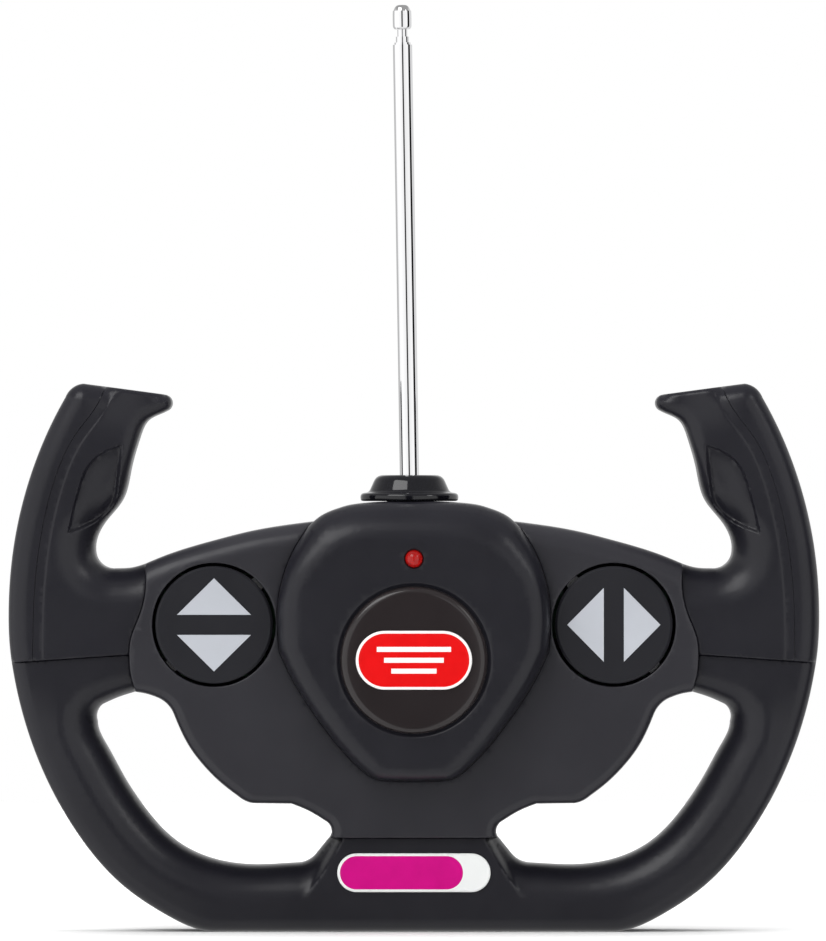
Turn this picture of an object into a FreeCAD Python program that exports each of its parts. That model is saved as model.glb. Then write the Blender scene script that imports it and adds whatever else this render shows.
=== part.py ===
import FreeCAD, Part
import math
import os
import re

import Sketcher
from FreeCAD import Placement, Rotation, Vector

# Hand-held radio transmitter shaped like a racing wheel.
# The frame is +Z up, +X to the right and -Y towards the player's face, with the
# origin at the centre of the flat underside of the rim, on the parting plane Y = 0.
# Housings are drawn in "front" coordinates: x right, y up and z out of the front.

DIMENSIONS = {
    "wall": 2.0,
    "hub_front": 13.0,
    "hub_rear": 14.0,
    "hub_round": 1.5,
    "pod_front": 21.0,
    "pod_wall": 3.0,
    "pod_skirt_low": 4.0,
    "pod_round": 6.0,
    "rim_depth": 11.0,
    "rim_round": 4.0,
    "grip_depth": 12.0,
    "grip_round": 5.0,
    "recess_depth": 2.2,
    "disc_high": 60.5,
    "disc_radius": 15.6,
    "disc_recess_radius": 16.8,
    "disc_floor": 19.8,
    "disc_thick": 2.2,
    "disc_round": 1.0,
    "badge_width": 25.7,
    "badge_height": 13.0,
    "badge_thick": 0.5,
    "lower_badge_width": 34.0,
    "lower_badge_height": 8.6,
    "lower_badge_high": 13.2,
    "lower_badge_thick": 0.5,
    "lamp_high": 82.9,
    "lamp_radius": 1.9,
    "lamp_flange_radius": 2.4,
    "lamp_flange_thick": 1.0,
    "lamp_leg_radius": 0.25,
    "lamp_leg_side": 1.27,
    "rocker_side": 44.3,
    "rocker_high": 68.2,
    "rocker_radius": 13.0,
    "rocker_hole_radius": 13.7,
    "rocker_well_radius": 14.7,
    "rocker_top": 13.3,
    "rocker_thick": 2.0,
    "rocker_skirt_low": 8.5,
    "rocker_skirt_wall": 1.4,
    "rocker_axis": 8.0,
    "lug_half": 2.1,
    "lug_flat": 0.8,
    "arrow_base": 16.4,
    "arrow_height": 8.1,
    "arrow_gap": 4.45,
    "arrow_thick": 0.4,
    "arrow_proud": 0.05,
    "pin_radius": 1.0,
    "pin_length": 20.0,
    "pin_running_gap": 0.05,
    "post_reach": 7.0,
    "post_radius": 1.5,
    "post_low": 5.0,
    "boss_gap": 0.1,
    "boss_radius": 1.8,
    "pill_gap": 0.65,
    "board_thick": 1.6,
    "mat_thick": 0.8,
    "mat_half": 11.0,
    "dome_base_radius": 3.3,
    "dome_wall": 0.4,
    "bracket_plate": 1.0,
    "bracket_ear": 2.0,
    "bracket_ear_out": 10.0,
    "board_post_radius": 3.0,
    "board_screw_radius": 1.2,
    "bracket_post_radius": 2.4,
    "bracket_screw_radius": 0.9,
    "pilot_depth": 6.0,
    "lean": 0.92,
    "aerial_foot_side": -0.75,
    "aerial_foot_high": 86.0,
    "aerial_forward": 3.0,
    "aerial_length": 111.1,
    "tube_wall": 0.3,
    "tube_a_radius": 2.15,
    "tube_b_radius": 1.8,
    "tube_c_radius": 1.45,
    "rod_radius": 1.1,
    "knob_radius": 2.18,
    "knob_length": 5.5,
    "knob_stem": 3.4,
    "collar_side": -1.0,
    "collar_low": 92.0,
    "collar_flange_low": 95.6,
    "collar_flange_radius": 10.9,
    "collar_flange_thick": 2.0,
    "collar_cone_radius": 9.5,
    "collar_top_radius": 7.5,
    "collar_top": 101.4,
    "collar_neck_radius": 5.0,
    "collar_bore_radius": 2.6,
    "ferrule_radius": 3.4,
    "ferrule_length": 5.0,
    "ferrule_tab_reach": 8.2,
    "ferrule_tab_half": 0.6,
    "aerial_screw_radius": 1.1,
    "bay_half": 28.7,
    "bay_low": 33.0,
    "bay_high": 61.5,
    "bay_floor": 0.9,
    "bay_wall": 1.8,
    "hump_half": 30.5,
    "hump_low": 31.2,
    "hump_high": 69.6,
    "hump_rear": 19.4,
    "door_thick": 1.8,
    "door_half": 28.4,
    "door_high": 68.0,
    "door_axis_high": 34.3,
    "door_axis_back": 18.2,
    "door_pin_radius": 0.9,
    "door_pin_reach": 1.2,
    "door_knuckle_radius": 1.2,
    "door_screw_high": 65.0,
    "door_screw_radius": 1.1,
    "door_screw_head_radius": 2.1,
    "battery_length": 48.5,
    "battery_width": 26.5,
    "battery_thick": 17.5,
    "battery_left": -27.2,
    "battery_low": 34.0,
    "battery_back": 16.8,
    "battery_stud": 2.5,
    "snap_thick": 2.6,
    "screw_radius": 1.3,
    "screw_head_radius": 2.5,
    "screw_head": 2.0,
    "screw_post_radius": 3.5,
    "screw_boss_radius": 3.0,
    "screw_sink": 5.0,
    "screw_reach": 7.0,
    "lead_radius": 0.6,
}

FACING = Rotation(Vector(1, 0, 0), 90)
HOUSING_SCREWS = {
    "rim": [(30.0, 7.3), (74.5, 36.0)],
    "hub": [(13.0, 27.2), (32.0, 83.8)],
    "grip": [(76.0, 68.0), (72.0, 106.0)],
}
BOARD_SCREWS = [(27.0, 77.0), (-27.0, 77.0)]
BRACKET_SCREWS = [(9.2, 8.8), (-9.2, -8.8)]

doc = FreeCAD.newDocument("wheel_transmitter")
sheet = doc.addObject("Spreadsheet::Sheet", "dims")
for row, (alias, number) in enumerate(DIMENSIONS.items(), start=1):
    sheet.set(f"A{row}", alias)
    sheet.set(f"B{row}", str(number))
    sheet.setAlias(f"B{row}", alias)
doc.recompute()

exported = []


# ---------------------------------------------------------------- helpers

def size(expression):
    """The value of an expression written with the sheet's aliases."""
    return sheet.evalExpression(expression)


def bind(item, prop, expression):
    """Binds a property to the sheet; bare words in the expression are aliases."""
    item.setExpression(prop, re.sub(r"\b([a-z][a-z_]*)\b", r"dims.\1", expression))


def front(x=0.0, up=0.0, out=0.0, turn=0.0):
    """A placement that stands front coordinates up, turned about the front normal."""
    return Placement(Vector(x, -out, up), FACING * Rotation(Vector(0, 0, 1), turn))


def along_aerial(distance=0.0):
    """A placement with its Z axis on the leaning aerial, so far up from its foot."""
    lean = Rotation(Vector(0, 1, 0), -size("lean"))
    foot = Vector(size("aerial_foot_side"), -size("aerial_forward"), size("aerial_foot_high"))
    return Placement(foot + lean.multVec(Vector(0, 0, distance)), lean)


def export(item, label):
    item.Label = label
    exported.append(item)
    return item


def piece(label, shape, placement=None):
    """A sub-part whose shape is made directly from outlines and the sheet's sizes."""
    feature = doc.addObject("Part::Feature", label)
    feature.Shape = shape
    feature.Placement = placement or front()
    return export(feature, label)


def new_body(label, placement=None):
    body = doc.addObject("PartDesign::Body", label)
    body.Placement = placement or front()
    return export(body, label)


def new_sketch(body, role, offset="0"):
    """A sketch on one of the body's own planes, moved along the plane's normal."""
    sketch = body.newObject("Sketcher::SketchObject", "profile")
    plane = next(item for item in body.Origin.OriginFeatures if item.Role == role)
    sketch.AttachmentSupport = [(plane, "")]
    sketch.MapMode = "FlatFace"
    if offset != "0":
        bind(sketch, "AttachmentOffset.Base.z", offset)
    return sketch


def place_point(sketch, index, which, x_expression, y_expression):
    """Dimensions one end of an element from the sketch's origin."""
    pairs = (("DistanceX", x_expression, -2), ("DistanceY", y_expression, -1))
    for kind, expression, axis in pairs:
        number = size(expression)
        if abs(number) < 1e-9:
            sketch.addConstraint(Sketcher.Constraint("PointOnObject", index, which, axis))
            continue
        slot = sketch.addConstraint(Sketcher.Constraint(kind, -1, 1, index, which, number))
        bind(sketch, f"Constraints[{slot}]", expression)


def draw_polygon(sketch, points):
    """A closed polygon whose corners are pairs of sheet expressions."""
    corners = [Vector(size(x), size(y), 0) for x, y in points]
    first = sketch.GeometryCount
    count = len(corners)
    for index in range(count):
        sketch.addGeometry(Part.LineSegment(corners[index], corners[(index + 1) % count]))
    for index in range(count):
        following = first + (index + 1) % count
        sketch.addConstraint(Sketcher.Constraint("Coincident", first + index, 2, following, 1))
    for index, (x, y) in enumerate(points):
        place_point(sketch, first + index, 1, x, y)


def draw_circle(sketch, x, y, radius):
    circle = Part.Circle(Vector(size(x), size(y), 0), Vector(0, 0, 1), size(radius))
    index = sketch.addGeometry(circle)
    slot = sketch.addConstraint(Sketcher.Constraint("Radius", index, size(radius)))
    bind(sketch, f"Constraints[{slot}]", radius)
    place_point(sketch, index, 3, x, y)


def pad(body, sketch, length, midplane=False):
    feature = body.newObject("PartDesign::Pad", "pad")
    feature.Profile = sketch
    feature.Midplane = midplane
    bind(feature, "Length", length)
    return feature


def pocket_through(body, sketch):
    feature = body.newObject("PartDesign::Pocket", "pocket")
    feature.Profile = sketch
    feature.Type = "ThroughAll"
    feature.Midplane = True
    return feature


def turned(label, placement, profile):
    """A body turned about its own Z axis from a half profile of (radius, height)."""
    body = new_body(label, placement)
    sketch = new_sketch(body, "XZ_Plane")
    draw_polygon(sketch, profile)
    feature = body.newObject("PartDesign::Revolution", "turning")
    feature.Profile = sketch
    feature.ReferenceAxis = (sketch, ["V_Axis"])
    feature.Angle = 360
    return body


def spline(points, start=None, end=None):
    """A smooth curve through points, with optional end directions."""
    curve = Part.BSplineCurve()
    ends = {}
    if start and end:
        ends = {"InitialTangent": Vector(*start, 0), "FinalTangent": Vector(*end, 0)}
    curve.interpolate(Points=[Vector(x, y, 0) for x, y in points], **ends)
    return curve.toShape()


def line(start, end):
    return Part.LineSegment(Vector(*start, 0), Vector(*end, 0)).toShape()


def arc(start, middle, end):
    return Part.Arc(Vector(*start, 0), Vector(*middle, 0), Vector(*end, 0)).toShape()


def flipped(shape):
    """The mirror image on the other side of the centre plane."""
    return shape.mirror(Vector(0, 0, 0), Vector(1, 0, 0))


def closed_face(edges):
    return Part.Face(Part.Wire(Part.__sortEdges__(edges)))


def prism(face, low, high):
    """The face's outline from one depth to another."""
    solid = face.extrude(Vector(0, 0, high - low))
    solid.translate(Vector(0, 0, low))
    return solid


def disc(x, y, radius, low, high):
    return Part.makeCylinder(radius, high - low, Vector(x, y, low))


def block(x_low, x_high, y_low, y_high, low, high):
    corner = Vector(x_low, y_low, low)
    return Part.makeBox(x_high - x_low, y_high - y_low, high - low, corner)


def rounded(solid, radius, depth, chosen=lambda edge: True):
    """Rounds the chosen edges that lie in the plane at one depth."""
    edges = [
        edge for edge in solid.Edges
        if abs(edge.BoundBox.ZMin - depth) < 1e-6
        and abs(edge.BoundBox.ZMax - depth) < 1e-6 and chosen(edge)
    ]
    return solid.makeFillet(radius, edges)


def fused(shapes):
    return shapes[0].multiFuse(shapes[1:]).removeSplitter() if len(shapes) > 1 else shapes[0]


def healed(shape):
    """The main solid of a housing, without trimmings, its curved seams re-matched."""
    solid = max(shape.Solids, key=lambda candidate: candidate.Volume).copy()
    solid.fix(1e-4, 1e-4, 1e-3)
    return solid


def both_sides(places):
    return [(side * x, y) for x, y in places for side in (-1, 1)]


# ---------------------------------------------------------------- outlines

SEAM_FOOT = (61.7, 53.3)
SEAM_STEP = (63.1, 61.6)
SEAM_TOP = (59.7, 81.7)
SEAM_LOW = [SEAM_STEP, (62.8, 57.5), SEAM_FOOT]
SEAM_HIGH = [SEAM_TOP, (59.4, 77.4), (60.9, 70.0), (62.8, 64.8), SEAM_STEP]
SHOULDER = (89.3, 59.8)
NECK = (18.6, 21.0)
BAND_FOOT = (84.5, 60.13)
BAND_TOP = (68.5, 121.05)
HORN_CORNER = (73.4, 121.7)
HORN_TIP = (55.4, 119.3)


def rim_face():
    """The lower loop of the wheel, from one shoulder to the other."""
    right = [
        spline([(44.2, 0), (55.2, 3.8), (65.4, 10.9), (74.5, 21.5), (82.4, 35.7), (87.3, 49.9),
                SHOULDER], (1, 0), (0.156, 0.988)),
        line(SHOULDER, SEAM_STEP),
        spline(SEAM_LOW),
        spline([SEAM_FOOT, (66.0, 51.9), (68.7, 50.7)]),
        arc((68.7, 50.7), (70.4, 49.0), (70.5, 46.6)),
        spline([(70.5, 46.6), (68.3, 41.0), (64.4, 33.9), (59.6, 26.8), (52.9, 19.9),
                (45.6, 16.2), (35.4, 14.6), (26.0, 15.0)], (0, -1), (-1, 0.05)),
        arc((26.0, 15.0), (23.6, 15.6), (22.0, 16.8)),
        line((22.0, 16.8), NECK),
    ]
    left = [flipped(edge) for edge in right]
    ends = [line((-44.2, 0), (44.2, 0)), line((-NECK[0], NECK[1]), NECK)]
    return closed_face(right + left + ends)


def hub_face():
    """The centre section with its two wings."""
    wing_top = (22.9, 91.0)
    right = [
        spline(SEAM_LOW),
        spline(SEAM_HIGH),
        spline([SEAM_TOP, (55.1, 83.6), (49.7, 85.4), (43.6, 87.1), (36.4, 88.9), wing_top]),
        spline([SEAM_FOOT, (59.0, 52.8), (57.0, 52.1)]),
        arc((57.0, 52.1), (54.8, 50.7), (53.3, 48.5)),
        spline([(53.3, 48.5), (50.2, 41.8), (46.3, 36.6), (42.4, 32.8), (39.0, 30.2)]),
        arc((39.0, 30.2), (37.5, 29.2), (35.6, 28.6)),
        line((35.6, 28.6), (27.2, 28.5)),
        spline([(27.2, 28.5), (23.5, 27.0), (19.8, 24.8)]),
        arc((19.8, 24.8), (18.3, 22.9), NECK),
    ]
    left = [flipped(edge) for edge in right]
    ends = [
        line((-wing_top[0], wing_top[1]), wing_top),
        line((-NECK[0], NECK[1]), NECK),
    ]
    return closed_face(right + left + ends)


def pod_face():
    """The raised shield in the middle, domed at the top and narrow at the foot."""
    right = [
        spline([(0, 95.6), (10.9, 95.2), (16.3, 94.2)], (1, 0), (0.94, -0.34)),
        spline([(16.3, 94.2), (20.6, 92.4), (23.4, 90.0)]),
        spline([(23.4, 90.0), (26.7, 84.6), (29.0, 78.7), (30.3, 70.0), (29.8, 62.3)]),
        spline([(29.8, 62.3), (27.6, 57.5), (22.6, 49.2), (17.2, 41.9)]),
        spline([(17.2, 41.9), (13.5, 37.6), (9.0, 33.7)]),
        line((9.0, 33.7), (0, 33.5)),
    ]
    return closed_face(right + [flipped(edge) for edge in right])


def horn_inside():
    """The inner edge of a horn, from its tip down to the wing."""
    return [
        arc(HORN_TIP, (53.8, 117.4), (55.0, 115.7)),
        spline([(55.0, 115.7), (59.1, 113.6), (61.0, 109.8), (62.9, 103.1), (64.8, 96.0),
                (68.9, 90.7), (70.9, 84.6)], (0.87, -0.5), (-0.1, -1)),
        arc((70.9, 84.6), (69.8, 81.9), (66.3, 80.6)),
        spline([(66.3, 80.6), (62.8, 80.8), SEAM_TOP]),
        spline(SEAM_HIGH),
    ]


def grip_face():
    """The whole outline of the right horn."""
    outside = [
        line(SEAM_STEP, SHOULDER),
        spline([SHOULDER, (90.0, 70.5), (88.9, 85.4), (84.5, 103.1), (77.4, 118.6)],
               (0.156, 0.988), (-0.5, 0.86)),
        arc((77.4, 118.6), (76.0, 120.6), HORN_CORNER),
        line(HORN_CORNER, HORN_TIP),
    ]
    return closed_face(outside + horn_inside())


def grip_insert_face():
    """The horn's front cover, which stops at the outer band."""
    outside = [
        line(SEAM_STEP, BAND_FOOT),
        spline([BAND_FOOT, (84.2, 74.5), (83.1, 85.4), (80.0, 99.3), (75.0, 110.4),
                (69.6, 118.2), BAND_TOP]),
        line(BAND_TOP, HORN_TIP),
    ]
    return closed_face(outside + horn_inside())


def thumb_face():
    """The leaf-shaped thumb rest sunk in a horn's front cover."""
    return closed_face([
        spline([(65.6, 107.6), (70.2, 106.2), (73.0, 102.2), (75.4, 95.0), (76.2, 90.4)]),
        spline([(76.2, 90.4), (72.4, 92.8), (68.6, 96.4), (66.9, 101.6), (65.6, 107.6)]),
    ])


def inset(face, distance):
    """The outline moved inwards by a distance, its curves refitted as plain splines."""
    edges = []
    for edge in face.makeOffset2D(-distance).OuterWire.OrderedEdges:
        if edge.Curve.TypeId in ("Part::GeomLine", "Part::GeomCircle"):
            edges.append(edge)
            continue
        curve = Part.BSplineCurve()
        curve.interpolate(Points=edge.discretize(Number=max(5, round(edge.Length / 2.5))))
        edges.append(curve.toShape())
    return closed_face(edges)


# ---------------------------------------------------------------- housings

def screw_posts(places, depth_low, depth_high, radius):
    return [disc(x, y, size(radius), depth_low, depth_high) for x, y in places]


def screw_holes(places, front_depth, rear_depth):
    """Clearance for the shanks, and the sunk heads at the back."""
    head_floor = size("screw_sink") - rear_depth
    cuts = [disc(x, y, size("screw_radius"), -rear_depth, front_depth) for x, y in places]
    for x, y in places:
        cuts.append(disc(x, y, size("screw_head_radius + 0.2"), -rear_depth - 1, head_floor))
    return cuts


def hollow_front(blank, face, depth, places, standing=()):
    """Hollows a front half from behind, and leaves bosses standing for its screws."""
    floor = depth - size("wall")
    cavity = prism(inset(face, size("wall")), 0, floor)
    bosses = screw_posts(places, 0, floor, "screw_boss_radius")
    pilots = [disc(x, y, size("screw_radius"), 0, floor - 1) for x, y in places]
    return blank.cut(cavity.cut(bosses + list(standing))).cut(pilots)


def hollow_rear(blank, cavity, depth, places, standing=()):
    """Hollows a rear half, and leaves posts standing that the screws run through."""
    posts = screw_posts(places, size("wall") - depth, 0, "screw_post_radius")
    return blank.cut(cavity.cut(posts + list(standing))).cut(screw_holes(places, 0, depth))


def make_rim():
    face = rim_face()
    depth = size("rim_depth")
    places = both_sides(HOUSING_SCREWS["rim"])
    blank = rounded(prism(face, 0, depth), size("rim_round"), depth)
    piece("rim_front", healed(hollow_front(blank, face, depth, places)))
    rear_blank = blank.mirror(Vector(0, 0, 0), Vector(0, 0, 1))
    cavity = prism(inset(face, size("wall")), size("wall") - depth, 0)
    piece("rim_rear", healed(hollow_rear(rear_blank, cavity, depth, places)))


def hub_edge(edge):
    """True for the edges round the wing tops and the finger openings, not the seams."""
    box = edge.BoundBox
    wing_top = box.YMin > 81 and box.YMax > 90 and box.XLength < 45
    opening = 20.9 < box.YMin and box.YMax < 53.4 and box.XLength < 30
    return wing_top or opening


def make_hub_front():
    face = hub_face()
    depth = size("hub_front")
    places = both_sides(HOUSING_SCREWS["hub"])
    blank = rounded(prism(face, 0, depth), size("hub_round"), depth, hub_edge)
    sides = (-size("rocker_side"), size("rocker_side"))
    up = size("rocker_high")
    wells = [disc(x, up, size("rocker_well_radius"), 5.0, depth - 1) for x in sides]
    holes = [disc(x, up, size("rocker_hole_radius"), 4.0, depth + 1) for x in sides]
    above = block(-24, 24, 88.5, 92, -1, depth + 1)
    shell = hollow_front(blank, face, depth, places, wells).cut(holes)
    piece("hub_front_cover", healed(shell.cut([prism(pod_face(), -1, depth + 1), above])))


def make_pod():
    face = pod_face()
    depth = size("pod_front")
    blank = rounded(prism(face, 0, depth), size("pod_round"), depth)
    cavity = prism(inset(face, size("wall")), -1, depth - size("pod_wall"))
    open_below = block(-40, 40, 20, 88.8, -1, size("pod_skirt_low"))
    recess = disc(0, size("disc_high"), size("disc_recess_radius"), size("disc_floor"), depth + 1)
    lamp_hole = disc(0, size("lamp_high"), size("lamp_radius + 0.1"), 0, depth + 1)
    shell = blank.cut([cavity, open_below, recess, lamp_hole, collar_clearance()])
    piece("centre_pod_cover", healed(shell))


def collar_clearance():
    """The round hole that the collar's neck passes through, in front coordinates."""
    foot = Vector(size("collar_side"), size("collar_low") - 7, size("aerial_forward"))
    return Part.makeCylinder(size("collar_neck_radius"), 20, foot, Vector(0, 1, 0))


def aerial_screw_spot():
    """Where the aerial's screw crosses the ferrule's tab."""
    return along_aerial().multVec(
        Vector(size("ferrule_tab_reach"), 0, size("ferrule_length / 2")))


def bracket_screw_spots():
    """The screws of both brackets, in front coordinates."""
    spots = []
    for side, turn in ((-1, 0), (1, 90)):
        for x, y in BRACKET_SCREWS:
            spot = Rotation(Vector(0, 0, 1), turn).multVec(Vector(x, y, 0))
            spots.append((side * size("rocker_side") + spot.x, size("rocker_high") + spot.y))
    return spots


def board_posts(floor):
    """Posts and pilot holes for the board, the brackets and, last, the aerial."""
    posts = []
    pilots = []
    fixings = [(x, y, "board") for x, y in BOARD_SCREWS]
    fixings += [(x, y, "bracket") for x, y in bracket_screw_spots()]
    deep = -size("pilot_depth")
    for x, y, kind in fixings:
        posts.append(disc(x, y, size(f"{kind}_post_radius"), floor, 0))
        pilots.append(disc(x, y, size(f"{kind}_screw_radius"), deep, 0))
    spot = aerial_screw_spot()
    top = size("aerial_forward - ferrule_tab_half")
    posts.append(disc(spot.x, spot.z, size("board_post_radius"), floor, top))
    pilots.append(disc(spot.x, spot.z, size("aerial_screw_radius"), deep, top))
    return posts, pilots


def make_hub_rear():
    depth = size("hub_rear")
    hub = hub_face()
    pod = pod_face()
    places = both_sides(HOUSING_SCREWS["hub"])
    wall = size("wall")
    blank = fused([
        rounded(prism(hub, -depth, 0), size("hub_round"), -depth, hub_edge),
        rounded(prism(pod, -depth, 0), size("hub_round"), -depth),
        block(-size("hump_half"), size("hump_half"), size("hump_low"), size("hump_high"),
              -size("hump_rear"), wall - depth),
    ])
    cavity = fused([
        prism(inset(hub, wall), wall - depth, 0.5),
        prism(inset(pod, wall), wall - depth, 0.5),
    ])
    bay_wall = size("bay_wall")
    bay_half = size("bay_half")
    bay_outside = block(
        -bay_half - bay_wall, bay_half + bay_wall, size("bay_low") - bay_wall,
        size("bay_high") + bay_wall, -depth, size("bay_floor") + bay_wall)
    screw_block = disc(0, size("door_screw_high"), 3.6, -depth - 4, -5)
    bay = block(-bay_half, bay_half, size("bay_low"), size("bay_high"),
                -size("hump_rear") - 1, size("bay_floor"))
    door_seat = block(
        -bay_half, bay_half, size("bay_low"), size("door_high") + 0.3,
        -size("hump_rear") - 1, size("door_thick") - size("hump_rear"))
    door_pins = Part.makeCylinder(
        size("door_pin_radius + 0.06"), size("2 * bay_half + 2 * door_pin_reach + 0.2"),
        Vector(-size("bay_half + door_pin_reach + 0.1"), size("door_axis_high"),
               -size("door_axis_back")), Vector(1, 0, 0))
    door_screw = disc(0, size("door_screw_high"), 1.35, -depth - 5, -8)
    inner_posts, inner_pilots = board_posts(wall - depth)
    shell = hollow_rear(blank, cavity, depth, places, [bay_outside, screw_block] + inner_posts)
    shell = fused([shell, bay_outside.common(block(-40, 40, 20, 70, -1, 5)), inner_posts[-1]])
    wire_notch = block(
        22.5, 28.0, size("bay_high") - 0.1, size("bay_high + bay_wall") + 0.1, -7, 0.6)
    cuts = [bay, door_seat, door_pins, door_screw, wire_notch, collar_clearance()]
    piece("rear_hub_shell", healed(shell.cut(cuts + inner_pilots)))


def outer_edge(edge):
    """True for the long outer edge of a horn."""
    return edge.BoundBox.XMax > 88 and edge.BoundBox.YMax > 100


def make_grips():
    depth = size("grip_depth")
    wall = size("wall")
    places = HOUSING_SCREWS["grip"]
    whole = grip_face()
    insert = grip_insert_face()
    blank = rounded(prism(whole, -depth, depth), size("grip_round"), depth, outer_edge)
    blank = rounded(blank, size("grip_round"), -depth, outer_edge)
    cavity = prism(inset(whole, wall), wall - depth, 0)
    band_cavity = prism(inset(whole, wall), 0, depth - wall)
    rear = hollow_rear(blank, cavity, depth, places)
    rear = healed(rear.cut([band_cavity, prism(insert, 0, depth + 1)]))

    thumb = thumb_face()
    backing = prism(inset(thumb, -1.4), depth - size("recess_depth") - 1.6, depth - wall)
    sunk = prism(thumb, depth - size("recess_depth"), depth + 1)
    cover = hollow_front(
        blank.common(prism(insert, 0, depth + 1)), insert, depth, places, [backing])
    cover = healed(cover.cut(sunk))
    for side, turned_over in (("right", False), ("left", True)):
        piece(f"{side}_grip_front", flipped(cover) if turned_over else cover)
        piece(f"{side}_grip_rear", flipped(rear) if turned_over else rear)


# ---------------------------------------------------------------- front trim

def make_emblem():
    disc_body = turned("emblem_disc", front(0, size("disc_high"), size("disc_floor")), [
        ("0", "0"), ("disc_radius", "0"), ("disc_radius", "disc_thick"), ("0", "disc_thick")])
    doc.recompute()
    edge = body_edge(disc_body, size("disc_thick"))
    softened = disc_body.newObject("PartDesign::Fillet", "soft_edge")
    softened.Base = (disc_body.Group[1], [edge])
    bind(softened, "Radius", "disc_round")
    out = size("disc_floor + disc_thick")
    badge = stadium(size("badge_width"), size("badge_height"), size("badge_thick"))
    piece("emblem_badge", badge, front(0, size("disc_high"), out))
    lower = stadium(
        size("lower_badge_width"), size("lower_badge_height"), size("lower_badge_thick"))
    piece("lower_badge", lower, front(0, size("lower_badge_high"), size("rim_depth")))


def body_edge(body, height):
    """The name of the widest round edge at one height of a turned body."""
    shape = body.Group[1].Shape
    level = [
        (edge.BoundBox.XLength, index) for index, edge in enumerate(shape.Edges, start=1)
        if abs(edge.BoundBox.ZMin - height) < 1e-6 and abs(edge.BoundBox.ZMax - height) < 1e-6
    ]
    return f"Edge{max(level)[1]}"


def stadium(width, height, thick):
    """A flat plate with straight long sides and round ends."""
    half = height / 2
    reach = width / 2 - half
    face = closed_face([
        line((-reach, -half), (reach, -half)),
        arc((reach, -half), (reach + half, 0), (reach, half)),
        line((reach, half), (-reach, half)),
        arc((-reach, half), (-reach - half, 0), (-reach, -half)),
    ])
    return prism(face, 0, thick)


def make_lamp():
    radius = size("lamp_radius")
    flange_top = size("pod_front - pod_wall")
    flange_low = flange_top - size("lamp_flange_thick")
    dome_base = size("pod_front") - 0.2
    lens = fused([
        disc(0, 0, size("lamp_flange_radius"), flange_low, flange_top),
        disc(0, 0, radius, flange_low, dome_base),
        Part.makeSphere(radius, Vector(0, 0, dome_base)),
    ])
    piece("status_led", lens, front(0, size("lamp_high")))
    apart = size("lamp_leg_side")
    legs = [disc(x, 0, size("lamp_leg_radius"), 0.0, flange_low) for x in (-apart, apart)]
    piece("led_leads", Part.makeCompound(legs), front(0, size("lamp_high")))


# ---------------------------------------------------------------- rockers

def arrow_points(sign):
    """One arrow's corners, base beside the pivot line and tip pointing away."""
    base = f"{sign} * arrow_gap / 2"
    tip = f"{sign} * (arrow_gap / 2 + arrow_height)"
    return [("-arrow_base / 2", base), ("arrow_base / 2", base), ("0", tip)]


def make_rocker(side, centre, turn):
    """A round thumb rocker that pivots about its own X axis."""
    place = front(centre, size("rocker_high"), 0, turn)
    cap = turned(f"{side}_rocker_cap", place, [
        ("0", "rocker_top - rocker_thick"),
        ("rocker_radius - rocker_skirt_wall", "rocker_top - rocker_thick"),
        ("rocker_radius - rocker_skirt_wall - 0.6", "rocker_skirt_low"),
        ("rocker_radius - 0.9", "rocker_skirt_low"),
        ("rocker_radius", "rocker_top - rocker_thick"),
        ("rocker_radius", "rocker_top - 0.5"),
        ("rocker_radius - 0.5", "rocker_top"),
        ("0", "rocker_top"),
    ])
    lug_low = "rocker_axis - lug_half"
    lug_top = "rocker_top - rocker_thick + 0.5"
    lug_waist = "rocker_axis - lug_flat"
    for sign in ("", "-"):
        lug = new_sketch(cap, "YZ_Plane", f"{sign}bracket_ear_out / 2")
        draw_polygon(lug, [
            ("-lug_half", lug_top), ("-lug_half", lug_waist), ("-lug_flat", lug_low),
            ("lug_flat", lug_low), ("lug_half", lug_waist), ("lug_half", lug_top)])
        pad(cap, lug, "bracket_ear", midplane=True)
    posts = new_sketch(cap, "XY_Plane", "post_low")
    for sign in ("", "-"):
        draw_circle(posts, "0", f"{sign}post_reach", "post_radius")
    pad(cap, posts, "rocker_top - rocker_thick + 0.5 - post_low")
    bore = new_sketch(cap, "YZ_Plane")
    draw_circle(bore, "0", "rocker_axis", "pin_radius + pin_running_gap")
    pocket_through(cap, bore)
    seats = new_sketch(cap, "XY_Plane", "rocker_top")
    for sign in ("1", "-1"):
        draw_polygon(seats, arrow_points(sign))
    seat_cut = cap.newObject("PartDesign::Pocket", "arrow_seats")
    seat_cut.Profile = seats
    bind(seat_cut, "Length", "arrow_thick")

    arrows = new_body(f"{side}_rocker_arrows", place)
    for sign in ("1", "-1"):
        outline = new_sketch(arrows, "XY_Plane", "rocker_top - arrow_thick")
        draw_polygon(outline, arrow_points(sign))
        pad(arrows, outline, "arrow_thick + arrow_proud")

    pin = new_body(f"{side}_pivot_pin", place)
    round_bar = new_sketch(pin, "YZ_Plane")
    draw_circle(round_bar, "0", "rocker_axis", "pin_radius")
    pad(pin, round_bar, "pin_length", midplane=True)

    make_bracket(f"{side}_rocker_bracket", place)
    make_keypad(f"{side}_keypad", place)


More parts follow.
